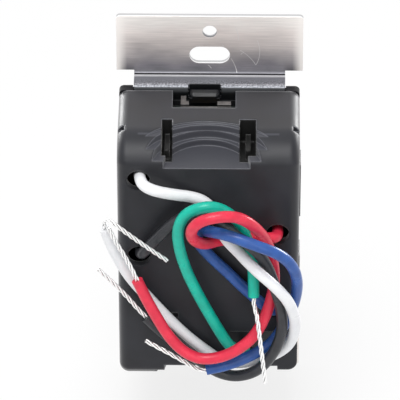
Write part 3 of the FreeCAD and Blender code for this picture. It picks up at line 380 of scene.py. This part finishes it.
def flange_tones(material, depth):
    """The flanges behind the ears: painted black shade and a painted bright highlight beside the bend, then
    smooth grey that turns to coarse speckle further back."""
    backward = add_node(material, "MapRange", {"From Max": FLANGE_DEPTH}, {"Value": depth})
    # The black band and the bright band beside the bend are painted shade and a painted highlight
    smooth = add_node(material, "ValToRGB", links={"Fac": backward}, stops=(
        (0.0, "#6c6c72"), (0.045, "#727278"), (0.065, "#141417"), (0.135, "#18181b"), (0.165, "#ececee"),
        (0.23, "#dcdcde"), (0.34, "#83858b"), (1.0, "#86888e")))
    grains = object_pattern(material, 0.4 * MM, detail=1.0)
    speckle = add_node(material, "ValToRGB", links={"Fac": grains},
                       stops=((0.36, "#5e6066"), (0.66, "#94969c")))
    back = add_node(material, "MapRange", {"From Min": SPECKLE_START, "From Max": SPECKLE_FULL},
                    {"Value": depth})
    return paint(material, smooth, (back, speckle))


def cut_edge_tones(material, where, spot, height):
    """The cut edges of the sheet: bright, with the thread in the cover plate's holes as dark bands of
    painted shade in its grooves. The thread is drawn about four times coarser than a real one, so that it
    shows."""
    flat = add_node(material, "CombineXYZ", links={"X": spot["X"], "Z": height})
    away = add_node(material, "VectorMath", {1: (0, 0, HOLE_HEIGHT)}, {0: flat}, operation="DISTANCE")
    hole = add_node(material, "MapRange", {
        "From Min": HOLE_RADIUS + 0.25 * MM, "From Max": HOLE_RADIUS + 0.45 * MM,
        "To Min": 1.0, "To Max": 0.0}, {"Value": away.outputs["Value"]})
    turns = add_node(material, "TexWave", {"Scale": wave_scale(3.14 * MM), "Distortion": 1.5},
                     {"Vector": where}, wave_type="BANDS", bands_direction="Y")
    # Painted shade: the darker tone stands for the shade in the thread's grooves
    thread = add_node(material, "ValToRGB", links={"Fac": turns.outputs["Fac"]},
                      stops=((0.3, "#6a6a6e"), (0.6, "#ffffff")))
    return paint(material, "#ffffff", (hole, thread))


def shaded_plate(material, spot):
    """A mask of the plate between the flanges, which lies in the dark under the housing's edge. In the
    latch window the dark begins sooner."""
    window = inside(material, (spot["X"], *WINDOW_SIDES))
    start = add_node(material, "MapRange", {"To Min": DARK_DEPTH, "To Max": WINDOW_DARK_DEPTH},
                     {"Value": window})
    past = combine(material, "SUBTRACT", spot["Y"], start)
    return add_node(material, "MapRange", {"From Max": 0.3 * MM}, {"Value": past})


def circle_centre(first, second, third):
    """The centre of the circle through three points of a plane."""
    (x1, z1), (x2, z2), (x3, z3) = first, second, third
    turn = 2 * (x1 * (z2 - z3) + x2 * (z3 - z1) + x3 * (z1 - z2))
    square1, square2, square3 = (x * x + z * z for x, z in (first, second, third))
    return ((square1 * (z2 - z3) + square2 * (z3 - z1) + square3 * (z1 - z2)) / turn,
            (square1 * (x3 - x2) + square2 * (x1 - x3) + square3 * (x2 - x1)) / turn)


def hair_scratch(material, flat, points):
    """A mask of one hair-thin scratch, along the arc through three points of the ear. Flat holds the
    object's coordinates with no y."""
    start, middle, end = ((x * MM, z * MM) for x, z in points)
    centre = circle_centre(start, middle, end)
    radius = math.dist(centre, start)
    reach = max(math.dist(middle, start), math.dist(middle, end))
    limits = ((centre, radius - SCRATCH_WIDTH / 2, radius + SCRATCH_WIDTH / 2), (middle, -reach, reach))
    ranges = []
    for (x, z), low, high in limits:
        away = add_node(material, "VectorMath", {1: (x, 0, z)}, {0: flat}, operation="DISTANCE")
        ranges.append((away.outputs["Value"], low, high))
    return inside(material, *ranges)


def zinc_plated_steel():
    """Rolled and zinc plated steel: bright at the end of each ear and duller towards the bends, partly
    tarnish and partly painted reflection, with painted shade and highlights by the bends and under the
    housing's edge, fine rolling streaks along the sheet, coarse speckle where it was bent, and a few hair
    scratches."""
    material, shader = new_material("zinc plated rolled steel", 0.36, metallic=0.6)
    where = add_node(material, "TexCoord").outputs["Object"]
    spot = add_node(material, "SeparateXYZ", links={0: where}).outputs
    across = add_node(material, "Math", links={0: spot["X"]}, operation="ABSOLUTE")
    height = add_node(material, "Math", links={0: spot["Z"]}, operation="ABSOLUTE")
    cloud = object_pattern(material, 6 * MM, stretch=(1.8, 1, 0.8), detail=4.0)
    streak = object_pattern(material, 0.3 * MM, stretch=(26, 1, 1), detail=3.0)
    on_ear = add_node(material, "MapRange", {"From Min": EAR_START, "From Max": EAR_START + 0.15 * MM},
                      {"Value": height})
    # A cut edge lies between the front of the sheet and its rear, which is at y = 0
    cut = inside(material, (spot["Y"], STRAP_LOW.y + 0.08 * MM, -0.08 * MM))
    # The front is a little duller than the rear, and only the rear is scratched
    rear = add_node(material, "MapRange", {"From Min": -0.5 * MM, "From Max": -0.3 * MM},
                    {"Value": spot["Y"]})
    front = add_node(material, "MapRange", {"To Min": 0.6, "To Max": 0.0}, {"Value": rear})
    flat = add_node(material, "VectorMath", {1: (1, 0, 1)}, {0: where}, operation="MULTIPLY")
    marks = combine(material, "MAXIMUM", *[hair_scratch(material, flat, points) for points in SCRATCHES])
    scored = add_node(material, "MapRange", {"To Max": 0.75},
                      {"Value": combine(material, "MULTIPLY", marks, rear)})
    colour = paint(
        material, flange_tones(material, spot["Y"]),
        (on_ear, ear_tones(material, across, height, cloud, streak)),
        # Painted shade on the plate between the flanges, under the housing's edge
        (shaded_plate(material, spot), "#1e2023"),
        (cut, cut_edge_tones(material, where, spot, height)),
        (front, "#8f8f93"),
        (scored, "#ece9e8"))
    feed(material, shader, {"Base Color": colour})
    vary_roughness(material, shader, cloud, 0.32, 0.44)
    add_bump(material, shader, streak, 0.005 * MM, 0.12 * MM)
    return material


def edge_highlights(material, spot):
    """A mask of thin painted highlights on the edges about the shoulders: where the bevel node's rounded
    normal turns away from the true one."""
    rounded = add_node(material, "Bevel", {"Radius": 0.4 * MM}, samples=8)
    flat = add_node(material, "NewGeometry").outputs["Normal"]
    turned = add_node(material, "VectorMath", links={0: rounded, 1: flat}, operation="DOT_PRODUCT")
    line = add_node(material, "MapRange", {
        "From Min": 0.9, "From Max": 0.985, "To Min": 0.75, "To Max": 0.0},
        {"Value": turned.outputs["Value"]})
    height = add_node(material, "Math", links={0: spot["Z"]}, operation="ABSOLUTE")
    return combine(material, "MULTIPLY", line, inside(material, (height, *EDGE_HIGHLIGHT_HEIGHTS)))


def housing_plastic():
    """ABS from a spark-eroded mould: matt charcoal with a fine even grain and thin painted highlights on its
    edges. The stepped recess in its top is painted paler as painted light, and the slots beside it are
    painted black as painted shade."""
    material, shader = new_material("spark textured black ABS", 0.42, Specular_IOR_Level=0.3,
                                    Sheen_Weight=0.3, Sheen_Roughness=0.45)
    where = add_node(material, "TexCoord").outputs
    spot = add_node(material, "SeparateXYZ", links={0: where["Object"]}).outputs
    face = add_node(material, "SeparateXYZ", links={0: where["Normal"]}).outputs
    blotch = object_pattern(material, 9 * MM, detail=3.0)
    plastic = add_node(material, "ValToRGB", links={"Fac": blotch},
                       stops=((0.35, "#1a1b20"), (0.65, "#222329")))
    # The rounded shoulder slopes, which sets it apart from the recess that is cut into it and keeps the
    # recess's painted light off it
    shoulder = inside(material, (face["Z"], 0.25, 0.97))
    slot_shade = combine(material, "MAXIMUM", *[in_box(material, spot, box) for box in SLOT_SHADE_BOXES])
    colour = paint(
        material, plastic,
        # Painted light: the recess is painted paler than the rest
        (in_box(material, spot, PAINTED_LIGHT_RECESS_BOX), "#3b3c43"),
        (shoulder, plastic),
        # Painted highlights: thin pale lines on the edges about the shoulders
        (edge_highlights(material, spot), "#6e6f76"),
        # Painted shade: the slots are painted black
        (slot_shade, "#000000"))
    feed(material, shader, {"Base Color": colour})
    vary_roughness(material, shader, blotch, 0.37, 0.47)
    add_bump(material, shader, object_pattern(material, 0.22 * MM), 0.012 * MM, 0.9 * MM)
    return material


def circuit_board(name, mask, track):
    """Glass-epoxy board under solder mask: dark and glossy, with the copper tracks as paler lines. The
    courses of a brick pattern, a few millimetres long, stand for the tracks."""
    material, shader = new_material(name, 0.35, Coat_Weight=0.3)
    where = add_node(material, "TexCoord")
    turn = add_node(material, "Mapping", {
        "Scale": (1 / MM, 1 / MM, 1 / MM), "Rotation": (math.pi / 2, 0, 0)},
        {"Vector": where.outputs["Object"]})
    tracks = add_node(material, "TexBrick", {
        "Color1": linear(mask), "Color2": linear(track), "Mortar": linear(track), "Scale": 0.6,
        "Mortar Size": 0.03, "Brick Width": 1.7, "Row Height": 0.8}, {"Vector": turn})
    feed(material, shader, {"Base Color": tracks})
    add_bump(material, shader, tracks.outputs["Fac"], 0.03 * MM)
    return material


def wound_wire(name, low, high, spacing):
    """Enamelled wire in close turns: glossy bands across the winding, with a painted highlight on each
    crest.
    The bands are several turns wide, because single turns are too fine to show."""
    material, shader = new_material(name, 0.3, metallic=1.0)
    where = add_node(material, "TexCoord")
    turns = add_node(material, "TexWave", {"Scale": wave_scale(spacing), "Distortion": 0.4},
                     {"Vector": where.outputs["Object"]}, wave_type="BANDS", bands_direction="Z")
    bands = turns.outputs["Fac"]
    colour = add_node(material, "ValToRGB", links={"Fac": bands}, stops=((0.1, low), (0.8, high)))
    feed(material, shader, {"Base Color": colour})
    add_bump(material, shader, bands, 0.08 * MM)
    return material


def moulded_and_coated():
    """The finishes that are two close tones over a grain, by material slot."""
    return {
        # Glass-filled nylon: smoother and blacker than the housing, so its edges shine
        "black_frame_plastic": plain_finish(
            "smooth black nylon", ("#0e0f12", "#15161a"), 0.32, patch=6, grain=0.4, depth=0.004, edge=0.2,
            Specular_IOR_Level=0.25),
        # Moulded in a polished tool: barely warm white with a soft highlight
        "white_plastic": plain_finish(
            "satin white polycarbonate", ("#f2f3f1", "#f7f7f5"), 0.34, patch=12, grain=0.35, depth=0.003,
            edge=0.25),
        # Moulded chip and switch cases: flat dark grey
        "black_plastic_small": plain_finish(
            "black moulded component plastic", ("#1f1f21", "#2b2b2d"), 0.5, patch=2, grain=0.15, depth=0.01,
            edge=0.1),
        # Moulded acetal: waxy, dull red-brown
        "switch_plunger": plain_finish(
            "red-brown acetal", ("#6b3a2c", "#7a4534"), 0.35, patch=1, grain=0.2, depth=0.003, edge=0.1),
        # Cast epoxy lens: milky and glossy
        "led_white": plain_finish(
            "milky epoxy", ("#eceadf", "#f5f3ea"), 0.25, patch=0.8, grain=0.3, depth=0.002, edge=0.1),
        # Pressed fibre sheet: dry black with a papery grain
        "insulating_sheet": plain_finish(
            "black vulcanised fibre", ("#17181a", "#202123"), 0.6, patch=2, grain=0.12, depth=0.01),
        # Moulded relay case: clean mid blue, half glossy
        "relay_blue": plain_finish(
            "blue relay case plastic", ("#2c63b0", "#3470bf"), 0.35, patch=4, grain=0.25, depth=0.004,
            edge=0.2),
        # Pressed and fired ferrite: dull grey and slightly gritty
        "ferrite": plain_finish(
            "sintered ferrite", ("#3b3b3d", "#4a4a4b"), 0.7, patch=0.8, grain=0.1, depth=0.015, edge=0.1),
        # Shrunk sleeve on a can: smooth black with a cool shine
        "capacitor_sleeve": plain_finish(
            "heat-shrunk black sleeve", ("#26262c", "#30303a"), 0.3, patch=3, grain=0.5, depth=0.006,
            edge=0.2),
        # Moulded capacitor box: even warm yellow
        "film_yellow": plain_finish(
            "yellow box capacitor plastic", ("#d9b12f", "#e3bd3d"), 0.35, patch=3, grain=0.2, depth=0.004,
            edge=0.2),
        # Dipped epoxy: uneven brick red with a thick gloss
        "varistor_red": plain_finish(
            "dipped epoxy, brick red", ("#9b3a24", "#ab4630"), 0.3, patch=1.5, grain=0.4, depth=0.02,
            edge=0.2),
        # Lacquered ceramic: chalky pale green
        "resistor_body": plain_finish(
            "ceramic lacquer, pale green", ("#8fae9c", "#9dbbaa"), 0.4, patch=1.2, grain=0.3, depth=0.01,
            edge=0.1),
    }


def worked_metals():
    """The small metal parts, by material slot."""
    return {
        # Spring steel, zinc plated and dark from its bends: dull grey
        "zinc_clip": plain_finish(
            "plated spring steel", ("#5e5d5c", "#72706f"), 0.38, patch=1.2, grain=0.3, depth=0.006,
            edge=0.15, metallic=1.0),
        # Upset and nickel plated: slightly warm and bright
        "rivet_metal": plain_finish(
            "nickel plated rivet", ("#b5b3ad", "#c6c4be"), 0.3, patch=1, grain=0.3, depth=0.004, edge=0.15,
            metallic=1.0),
        # Rolled and tinned sheet: silvery, a little soft
        "tin_plate": plain_finish(
            "tinned sheet", ("#c2c3c4", "#d2d3d4"), 0.35, patch=2, grain=0.3, depth=0.005, edge=0.15,
            metallic=1.0),
        # Thin gold over nickel: pale yellow and shiny
        "gold_pins": plain_finish(
            "gold flashed pins", ("#d8ae55", "#e6c06a"), 0.25, patch=0.6, grain=0.2, depth=0.002, edge=0.05,
            metallic=1.0),
        # Annealed iron: grey and faintly mottled
        "soft_iron": plain_finish(
            "annealed soft iron", ("#8c8a87", "#a3a19d"), 0.45, patch=1.5, grain=0.3, depth=0.008, edge=0.15,
            metallic=1.0),
        # Stamped brass: warm yellow with a clean shine
        "brass": plain_finish(
            "stamped brass", ("#c59a4a", "#d4aa5b"), 0.32, patch=1, grain=0.3, depth=0.004, edge=0.1,
            metallic=1.0),
    }


def tinned_strand():
    """Tinned copper strands: nearly white, with painted shade from occlusion that turns them black in the
    grooves between them.
    """
    material, shader = new_material("tinned copper strand", 0.3, metallic=0.6)
    shine = add_node(material, "ValToRGB", links={"Fac": object_pattern(material, 0.5 * MM)},
                     stops=((0.35, "#f4f4f3"), (0.65, "#ffffff")))
    groove_shade = add_node(material, "AmbientOcclusion", {"Distance": 0.25 * MM}, samples=12)
    crest = add_node(material, "MapRange", {"From Min": 0.52, "From Max": 0.74},
                     {"Value": groove_shade.outputs["AO"]})
    # Painted shade: black where the strands' grooves are occluded
    colour = paint(material, "#0c0c0e", (crest, shine))
    rough = add_node(material, "MapRange", {"To Min": 0.8, "To Max": 0.28}, {"Value": crest})
    feed(material, shader, {"Base Color": colour, "Roughness": rough})
    return material


def clear_pipe():
    """Moulded clear acrylic: lets the white behind it through, with a faint cool tint."""
    material, shader = new_material("clear moulded acrylic", 0.12, IOR=1.49, Transmission_Weight=0.85)
    haze = object_pattern(material, 0.8 * MM)
    tint = add_node(material, "ValToRGB", links={"Fac": haze}, stops=((0.35, "#e8eef0"), (0.65, "#f4f8f8")))
    feed(material, shader, {"Base Color": tint})
    add_bump(material, shader, haze, 0.003 * MM)
    return material


def insulations(colours):
    """Extruded PVC insulation, by material slot: even colour, a soft sheen and faint unevenness."""
    return {
        "insulation_" + colour: plain_finish(
            colour + " PVC insulation", (getattr(colours, colour), shade), 0.3, patch=2.5, grain=0.5,
            depth=0.006, Specular_IOR_Level=0.36)
        for colour, shade in INSULATION_SHADES.items()
    }


def slot_material(name):
    """The finish of one of the record's material slots. All are made when the first is asked for."""
    if not MATERIALS:
        MATERIALS.update(moulded_and_coated())
        MATERIALS.update(worked_metals())
        MATERIALS.update(insulations(bpy.context.scene.switch_colours))
        MATERIALS.update({
            "galvanised_steel": zinc_plated_steel(),
            "black_housing_plastic": housing_plastic(),
            "light_pipe": clear_pipe(),
            "tinned_strand": tinned_strand(),
            # The main board's near-black mask is painted shade, for the dark seen through the latch window
            "circuit_board": circuit_board("main board dark as painted shade", "#0f1413", "#1a2320"),
            "dark_board": circuit_board("black masked board", "#141a18", "#232d29"),
            "copper_winding": wound_wire("enamelled copper winding", "#8a4a22", "#c9763c", 1.885 * MM),
        })
    return MATERIALS[name]


def dress(*names):
    """Gives CAD nodes the finish of their material slot."""
    for name in names:
        mesh = NODES[name].data
        mesh.materials.clear()
        mesh.materials.append(slot_material(SLOTS[name]))


def add_piece(name, data):
    """Puts a new object in the scene, at the origin."""
    piece = bpy.data.objects.new(name, data)
    bpy.context.collection.objects.link(piece)
    return piece


def new_curve(name, diameter, resolution):
    """A round curve with closed ends. Resolution sets how many faces go round it."""
    data = bpy.data.curves.new(name, "CURVE")
    data.dimensions = "3D"
    data.bevel_depth = diameter / 2
    data.bevel_resolution = resolution
    data.use_fill_caps = True
    return data


def route_curve(name, points, diameter=0.0):
    """A curve object with one smooth spline whose control points are a route's points."""
    data = new_curve(name, diameter, 6)
    data.resolution_u = 12
    spline = data.splines.new("NURBS")
    spline.points.add(len(points) - 1)
    for point, place in zip(spline.points, points):
        point.co = (*place, 1)
    spline.order_u = 3
    spline.use_endpoint_u = True
    return add_piece(name, data)


def spline_points(points):
    """The points that Blender gives for the smooth line of a route."""
    guide = route_curve("guide", points)
    mesh = bpy.data.meshes.new_from_object(guide)
    line = [vertex.co.copy() for vertex in mesh.vertices]
    bpy.data.objects.remove(guide)
    bpy.data.meshes.remove(mesh)
    return line


def frames_along(line):
    """At each point of a line, how far along it lies and the two directions across it, which turn with
    the line and never about it."""
    frames = []
    run = 0.0
    side = (line[1] - line[0]).orthogonal().normalized()
    for i, place in enumerate(line):
        before, after = line[max(i - 1, 0)], line[min(i + 1, len(line) - 1)]
        run += (place - before).length
        ahead = (after - before).normalized()
        side = (side - ahead * side.dot(ahead)).normalized()
        frames.append((place, run, side.copy(), ahead.cross(side)))
    return frames


def strands_along(name, line, conductor, strand, lay):
    """Bunches of strands twisted together, each bunch drawn as one tube, because single strands are too
    fine to show. Lay is the length of one turn."""
    data = new_curve(name, strand, 3)
    ring = conductor / 2 - strand / 2
    frames = frames_along(line)
    for number in range(BUNCHES):
        spline = data.splines.new("POLY")
        spline.points.add(len(line) - 1)
        for point, (place, run, side, up) in zip(spline.points, frames):
            turn = 2 * math.pi * (run / lay + number / BUNCHES)
            where = place + side * (ring * math.cos(turn)) + up * (ring * math.sin(turn))
            point.co = (*where, 1)
    return add_piece(name, data)


def shorter_tongues(node):
    """A copy of the sub-frame whose two latch tongues end sooner, as they do in the photograph."""
    data = node.data.copy()
    data.name = "sub_frame_dressed"
    form = bmesh.new()
    form.from_mesh(data)
    bmesh.ops.remove_doubles(form, verts=form.verts, dist=0.001 * MM)
    tips = [v for v in form.verts if abs(v.co.z) > TIP_HEIGHT and v.co.y > TIP_DEPTH]
    bmesh.ops.translate(form, verts=tips, vec=(0, -TIP_CUT, 0))
    form.to_mesh(data)
    form.free()
    return add_piece("sub_frame_dressed", data)


def set_camera(scene, stage):
    """A long lens from behind and above, framed as the photograph is."""
    data = bpy.data.cameras.new("photo camera")
    data.lens = stage.lens
    data.sensor_width = 36
    data.shift_x, data.shift_y = FRAME_SHIFT
    data.clip_start = 0.05
    data.clip_end = 20
    camera = add_piece("photo camera", data)
    flat = math.cos(stage.elevation)
    camera.location = stage.distance * Vector(
        (math.sin(stage.turn) * flat, math.cos(stage.turn) * flat, math.sin(stage.elevation)))
    camera.rotation_euler = (-camera.location).to_track_quat("-Z", "Y").to_euler()
    scene.camera = camera


def seen(material):
    """1 for what the camera sees straight, in a mirror or through glass, and 0 for light on its way."""
    ray = add_node(material, "LightPath").outputs
    return combine(material, "MAXIMUM",
                   ray["Is Camera Ray"], ray["Is Glossy Ray"], ray["Is Transmission Ray"])


def set_floor(stage):
    """A wide floor of matt paper, which the camera sees nearly white and which keeps a faint shadow."""
    bpy.ops.mesh.primitive_plane_add(size=8, location=(0, 0, 0))
    floor = bpy.context.object
    floor.name = "studio_floor"
    floor.data.transform(Matrix.Translation((0, 0, stage.floor)))
    material, shader = new_material("matt white paper", 0.9)
    material.node_tree.nodes.remove(shader)
    paper = add_node(material, "BsdfDiffuse", {"Color": (PAPER_GREY, PAPER_GREY, PAPER_GREY, 1)})
    glow = add_node(material, "Emission", {"Color": (1, 1, 1, 1), "Strength": 1.0})
    share = add_node(material, "Math", {1: PAPER_GLOW}, {0: seen(material)}, operation="MULTIPLY")
    both = add_node(material, "MixShader", links={0: share, 1: paper, 2: glow})
    feed(material, material.node_tree.nodes["Material Output"], {"Surface": both})
    floor.data.materials.append(material)


def set_world(scene, stage):
    """White where the eye or a reflection looks past the floor, and soft light from all round."""
    world = bpy.data.worlds.new("studio")
    world.use_nodes = True
    background = world.node_tree.nodes["Background"]
    background.inputs["Color"].default_value = (1, 1, 1, 1)
    strength = add_node(world, "MapRange", {"To Min": stage.ambient, "To Max": 1.0}, {"Value": seen(world)})
    feed(world, background, {"Strength": strength})
    scene.world = world


def set_lamps(stage):
    """A large soft lamp overhead, a weak one by the camera, and one beyond each side that draws only
    the rims of the housing and the leads, so that it leaves the white front alone."""
    rimmed = bpy.data.collections.new(RIMMED)
    rimmed.objects.link(NODES["rear_housing"])
    # Each lamp's place, the size of its face and its power. All point at the origin.
    lamps = {
        "key": ((0.15, 0.45, 1.25), (0.7, 0.7), stage.key),
        "left rim": ((0.62, -0.95, 0.08), (0.8, 0.25), stage.rim),
        "right rim": ((-0.62, -0.95, 0.08), (0.8, 0.25), stage.rim),
        "fill": ((-0.3, 1.2, 0.5), (0.8, 0.8), stage.fill),
    }
    for name, (place, size, power) in lamps.items():
        data = bpy.data.lights.new(name, "AREA")
        data.shape = "RECTANGLE"
        data.size, data.size_y = size
        data.energy = power
        lamp = add_piece(name, data)
        if name.endswith("rim"):
            lamp.light_linking.receiver_collection = rimmed
        lamp.location = place
        lamp.rotation_euler = (-lamp.location).to_track_quat("-Z", "Y").to_euler()


class SwitchColours(bpy.types.PropertyGroup):
    """Colours of the leads, as sRGB hex."""

    white: bpy.props.StringProperty(
        name="White lead", description="Insulation of the neutral lead", default="#e8e9eb")
    black: bpy.props.StringProperty(
        name="Black lead", description="Insulation of the line lead", default="#37383c")
    red: bpy.props.StringProperty(
        name="Red lead", description="Insulation of the load lead", default="#df324b")
    green: bpy.props.StringProperty(
        name="Green lead", description="Insulation of the earth lead", default="#05b79f")
    blue: bpy.props.StringProperty(
        name="Blue lead", description="Insulation of the traveller lead", default="#305aa2")


class SwitchLeads(bpy.types.PropertyGroup):
    """Sizes of the leads and their bare ends."""

    insulation: bpy.props.FloatProperty(
        name="Insulation", description="Diameter over the insulation", default=2.8 * MM, unit="LENGTH")
    conductor: bpy.props.FloatProperty(
        name="Conductor", description="Diameter of the twisted bare end", default=1.15 * MM, unit="LENGTH")
    strand: bpy.props.FloatProperty(
        name="Strand", description="Diameter of one tinned bunch", default=0.53 * MM, unit="LENGTH")
    lay: bpy.props.FloatProperty(
        name="Lay", description="Length in which a bunch goes once round", default=6.4 * MM, unit="LENGTH")


class SwitchStage(bpy.types.PropertyGroup):
    """Camera, floor and light."""

    distance: bpy.props.FloatProperty(
        name="Distance", description="Camera to the centre of the strap", default=1.1, unit="LENGTH")
    elevation: bpy.props.FloatProperty(
        name="Elevation", description="Camera above the horizon", default=math.radians(35), unit="ROTATION")
    turn: bpy.props.FloatProperty(
        name="Turn", description="Camera to the side of the back's centre line",
        default=math.radians(-0.645), unit="ROTATION")
    lens: bpy.props.FloatProperty(
        name="Lens", description="Focal length in millimetres", default=397.08, unit="CAMERA")
    floor: bpy.props.FloatProperty(
        name="Floor", description="Height of the floor", default=-53.5 * MM, unit="LENGTH")
    ambient: bpy.props.FloatProperty(
        name="Ambient", description="Strength of the light from all round", default=0.68)
    key: bpy.props.FloatProperty(
        name="Key", description="Power of the large lamp overhead", default=12.0, unit="POWER")
    rim: bpy.props.FloatProperty(
        name="Rim", description="Power of each lamp behind the object's edges", default=12.0, unit="POWER")
    fill: bpy.props.FloatProperty(
        name="Fill", description="Power of the soft lamp beside the camera", default=2.5, unit="POWER")


class SWITCH_OT_stage(bpy.types.Operator):
    """Set up the camera, the pale floor, the white surroundings and the soft lamps"""

    bl_idname = "switch.stage"
    bl_label = "Camera, floor and light"

    def execute(self, context):
        stage = context.scene.switch_stage
        set_camera(context.scene, stage)
        set_floor(stage)
        set_world(context.scene, stage)
        set_lamps(stage)
        context.scene.view_settings.view_transform = "Standard"
        return {"FINISHED"}


class SWITCH_OT_leads(bpy.types.Operator):
    """Run the five insulated leads and their bare twisted ends"""

    bl_idname = "switch.leads"
    bl_label = "Leads and bare ends"

    def execute(self, context):
        sizes = context.scene.switch_leads
        for colour, points in LEAD_ROUTES.items():
            lead = route_curve("lead_" + colour, points, sizes.insulation)
            lead.data.materials.append(slot_material("insulation_" + colour))
            bare = strands_along("strands_" + colour, spline_points(BARE_ROUTES[colour]),
                                 sizes.conductor, sizes.strand, sizes.lay)
            bare.data.materials.append(slot_material("tinned_strand"))
            finishes = ((lead, "wire_", "insulation_" + colour), (bare, "bare_", "tinned_strand"))
            for piece, node, slot in finishes:
                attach(piece, "chassis")
                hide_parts(node + colour)
                bpy.data.collections[RIMMED].objects.link(piece)
        return {"FINISHED"}


class SWITCH_OT_strap(bpy.types.Operator):
    """Finish the bent steel strap and its earth lug and rivet"""

    bl_idname = "switch.strap"
    bl_label = "Mounting strap"

    def execute(self, context):
        dress("mounting_strap", "ground_rivet", "ground_lug")
        return {"FINISHED"}


class SWITCH_OT_housing(bpy.types.Operator):
    """Finish the black rear housing"""

    bl_idname = "switch.housing"
    bl_label = "Rear housing"

    def execute(self, context):
        dress("rear_housing")
        return {"FINISHED"}


class SWITCH_OT_sub_frame(bpy.types.Operator):
    """Finish the two metal latch clips and the black sub-frame, with its tongues cut back"""

    bl_idname = "switch.sub_frame"
    bl_label = "Sub-frame and clips"

    def execute(self, context):
        dress("latch_clips")
        piece = shorter_tongues(NODES["sub_frame"])
        piece.data.materials.clear()
        piece.data.materials.append(slot_material(SLOTS["sub_frame"]))
        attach(piece, "chassis")
        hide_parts("sub_frame")
        return {"FINISHED"}


class SWITCH_OT_front(bpy.types.Operator):
    """Finish the white bezel, the paddle and its light pipe"""

    bl_idname = "switch.front"
    bl_label = "Bezel and paddle"

    def execute(self, context):
        dress("front_bezel", "paddle", "light_pipe")
        return {"FINISHED"}


class SWITCH_OT_boards(bpy.types.Operator):
    """Finish the three boards, the sheet that insulates them and the connector between them"""

    bl_idname = "switch.boards"
    bl_label = "Boards and connector"

    def execute(self, context):
        dress("main_board", "control_board", "radio_board", "insulator_sheet", "board_header",
              "board_socket", "header_pins", "lead_eyelets")
        return {"FINISHED"}


class SWITCH_OT_controls(bpy.types.Operator):
    """Finish what sits on the control and radio boards"""

    bl_idname = "switch.controls"
    bl_label = "Tactile switch, light and radio"

    def execute(self, context):
        dress("tact_switch_body", "tact_plunger", "status_led", "controller_chip", "radio_chip",
              "radio_shield")
        return {"FINISHED"}


class SWITCH_OT_relay(bpy.types.Operator):
    """Finish the relay's case, coil, core, yoke and armature"""

    bl_idname = "switch.relay"
    bl_label = "Relay"

    def execute(self, context):
        dress("relay_base", "relay_cover", "relay_coil", "relay_core", "relay_yoke", "relay_armature")
        return {"FINISHED"}


class SWITCH_OT_supply(bpy.types.Operator):
    """Finish the transformer and the other parts of the power supply"""

    bl_idname = "switch.supply"
    bl_label = "Power supply"

    def execute(self, context):
        dress("transformer_bobbin", "transformer_winding", "transformer_core", "bulk_capacitor",
              "output_capacitor", "film_capacitor", "varistor", "fuse_resistor", "bridge_rectifier",
              "regulator")
        return {"FINISHED"}


class SWITCH_PT_panel(bpy.types.Panel):
    """Lists the sizes, the colours and the steps"""

    bl_idname = "SWITCH_PT_panel"
    bl_label = "Wall switch"
    bl_space_type = "VIEW_3D"
    bl_region_type = "UI"
    bl_category = "Wall switch"

    def draw(self, context):
        for name in GROUPS:
            box = self.layout.box()
            group = getattr(context.scene, name)
            for setting in group.__annotations__:
                box.prop(group, setting)
        for step in STEPS:
            self.layout.operator(step.bl_idname)


GROUPS = {
    "switch_colours": SwitchColours,
    "switch_leads": SwitchLeads,
    "switch_stage": SwitchStage,
}
STEPS = [
    SWITCH_OT_stage, SWITCH_OT_leads, SWITCH_OT_strap, SWITCH_OT_housing, SWITCH_OT_sub_frame,
    SWITCH_OT_front, SWITCH_OT_boards, SWITCH_OT_controls, SWITCH_OT_relay, SWITCH_OT_supply,
]


def register():
    """Adds the settings, the steps and the panel to Blender."""
    for name, group in GROUPS.items():
        bpy.utils.register_class(group)
        setattr(bpy.types.Scene, name, bpy.props.PointerProperty(type=group))
    for step in STEPS:
        bpy.utils.register_class(step)
    bpy.utils.register_class(SWITCH_PT_panel)


def unregister():
    """Takes the panel, the steps and the settings out of Blender."""
    bpy.utils.unregister_class(SWITCH_PT_panel)
    for step in reversed(STEPS):
        bpy.utils.unregister_class(step)
    for name, group in GROUPS.items():
        delattr(bpy.types.Scene, name)
        bpy.utils.unregister_class(group)


def main():
    """Builds everything in order."""
    register()
    bpy.ops.switch.stage()
    bpy.ops.switch.leads()
    bpy.ops.switch.strap()
    bpy.ops.switch.housing()
    bpy.ops.switch.sub_frame()
    bpy.ops.switch.front()
    bpy.ops.switch.boards()
    bpy.ops.switch.controls()
    bpy.ops.switch.relay()
    bpy.ops.switch.supply()


if __name__ == "__main__":
    main()
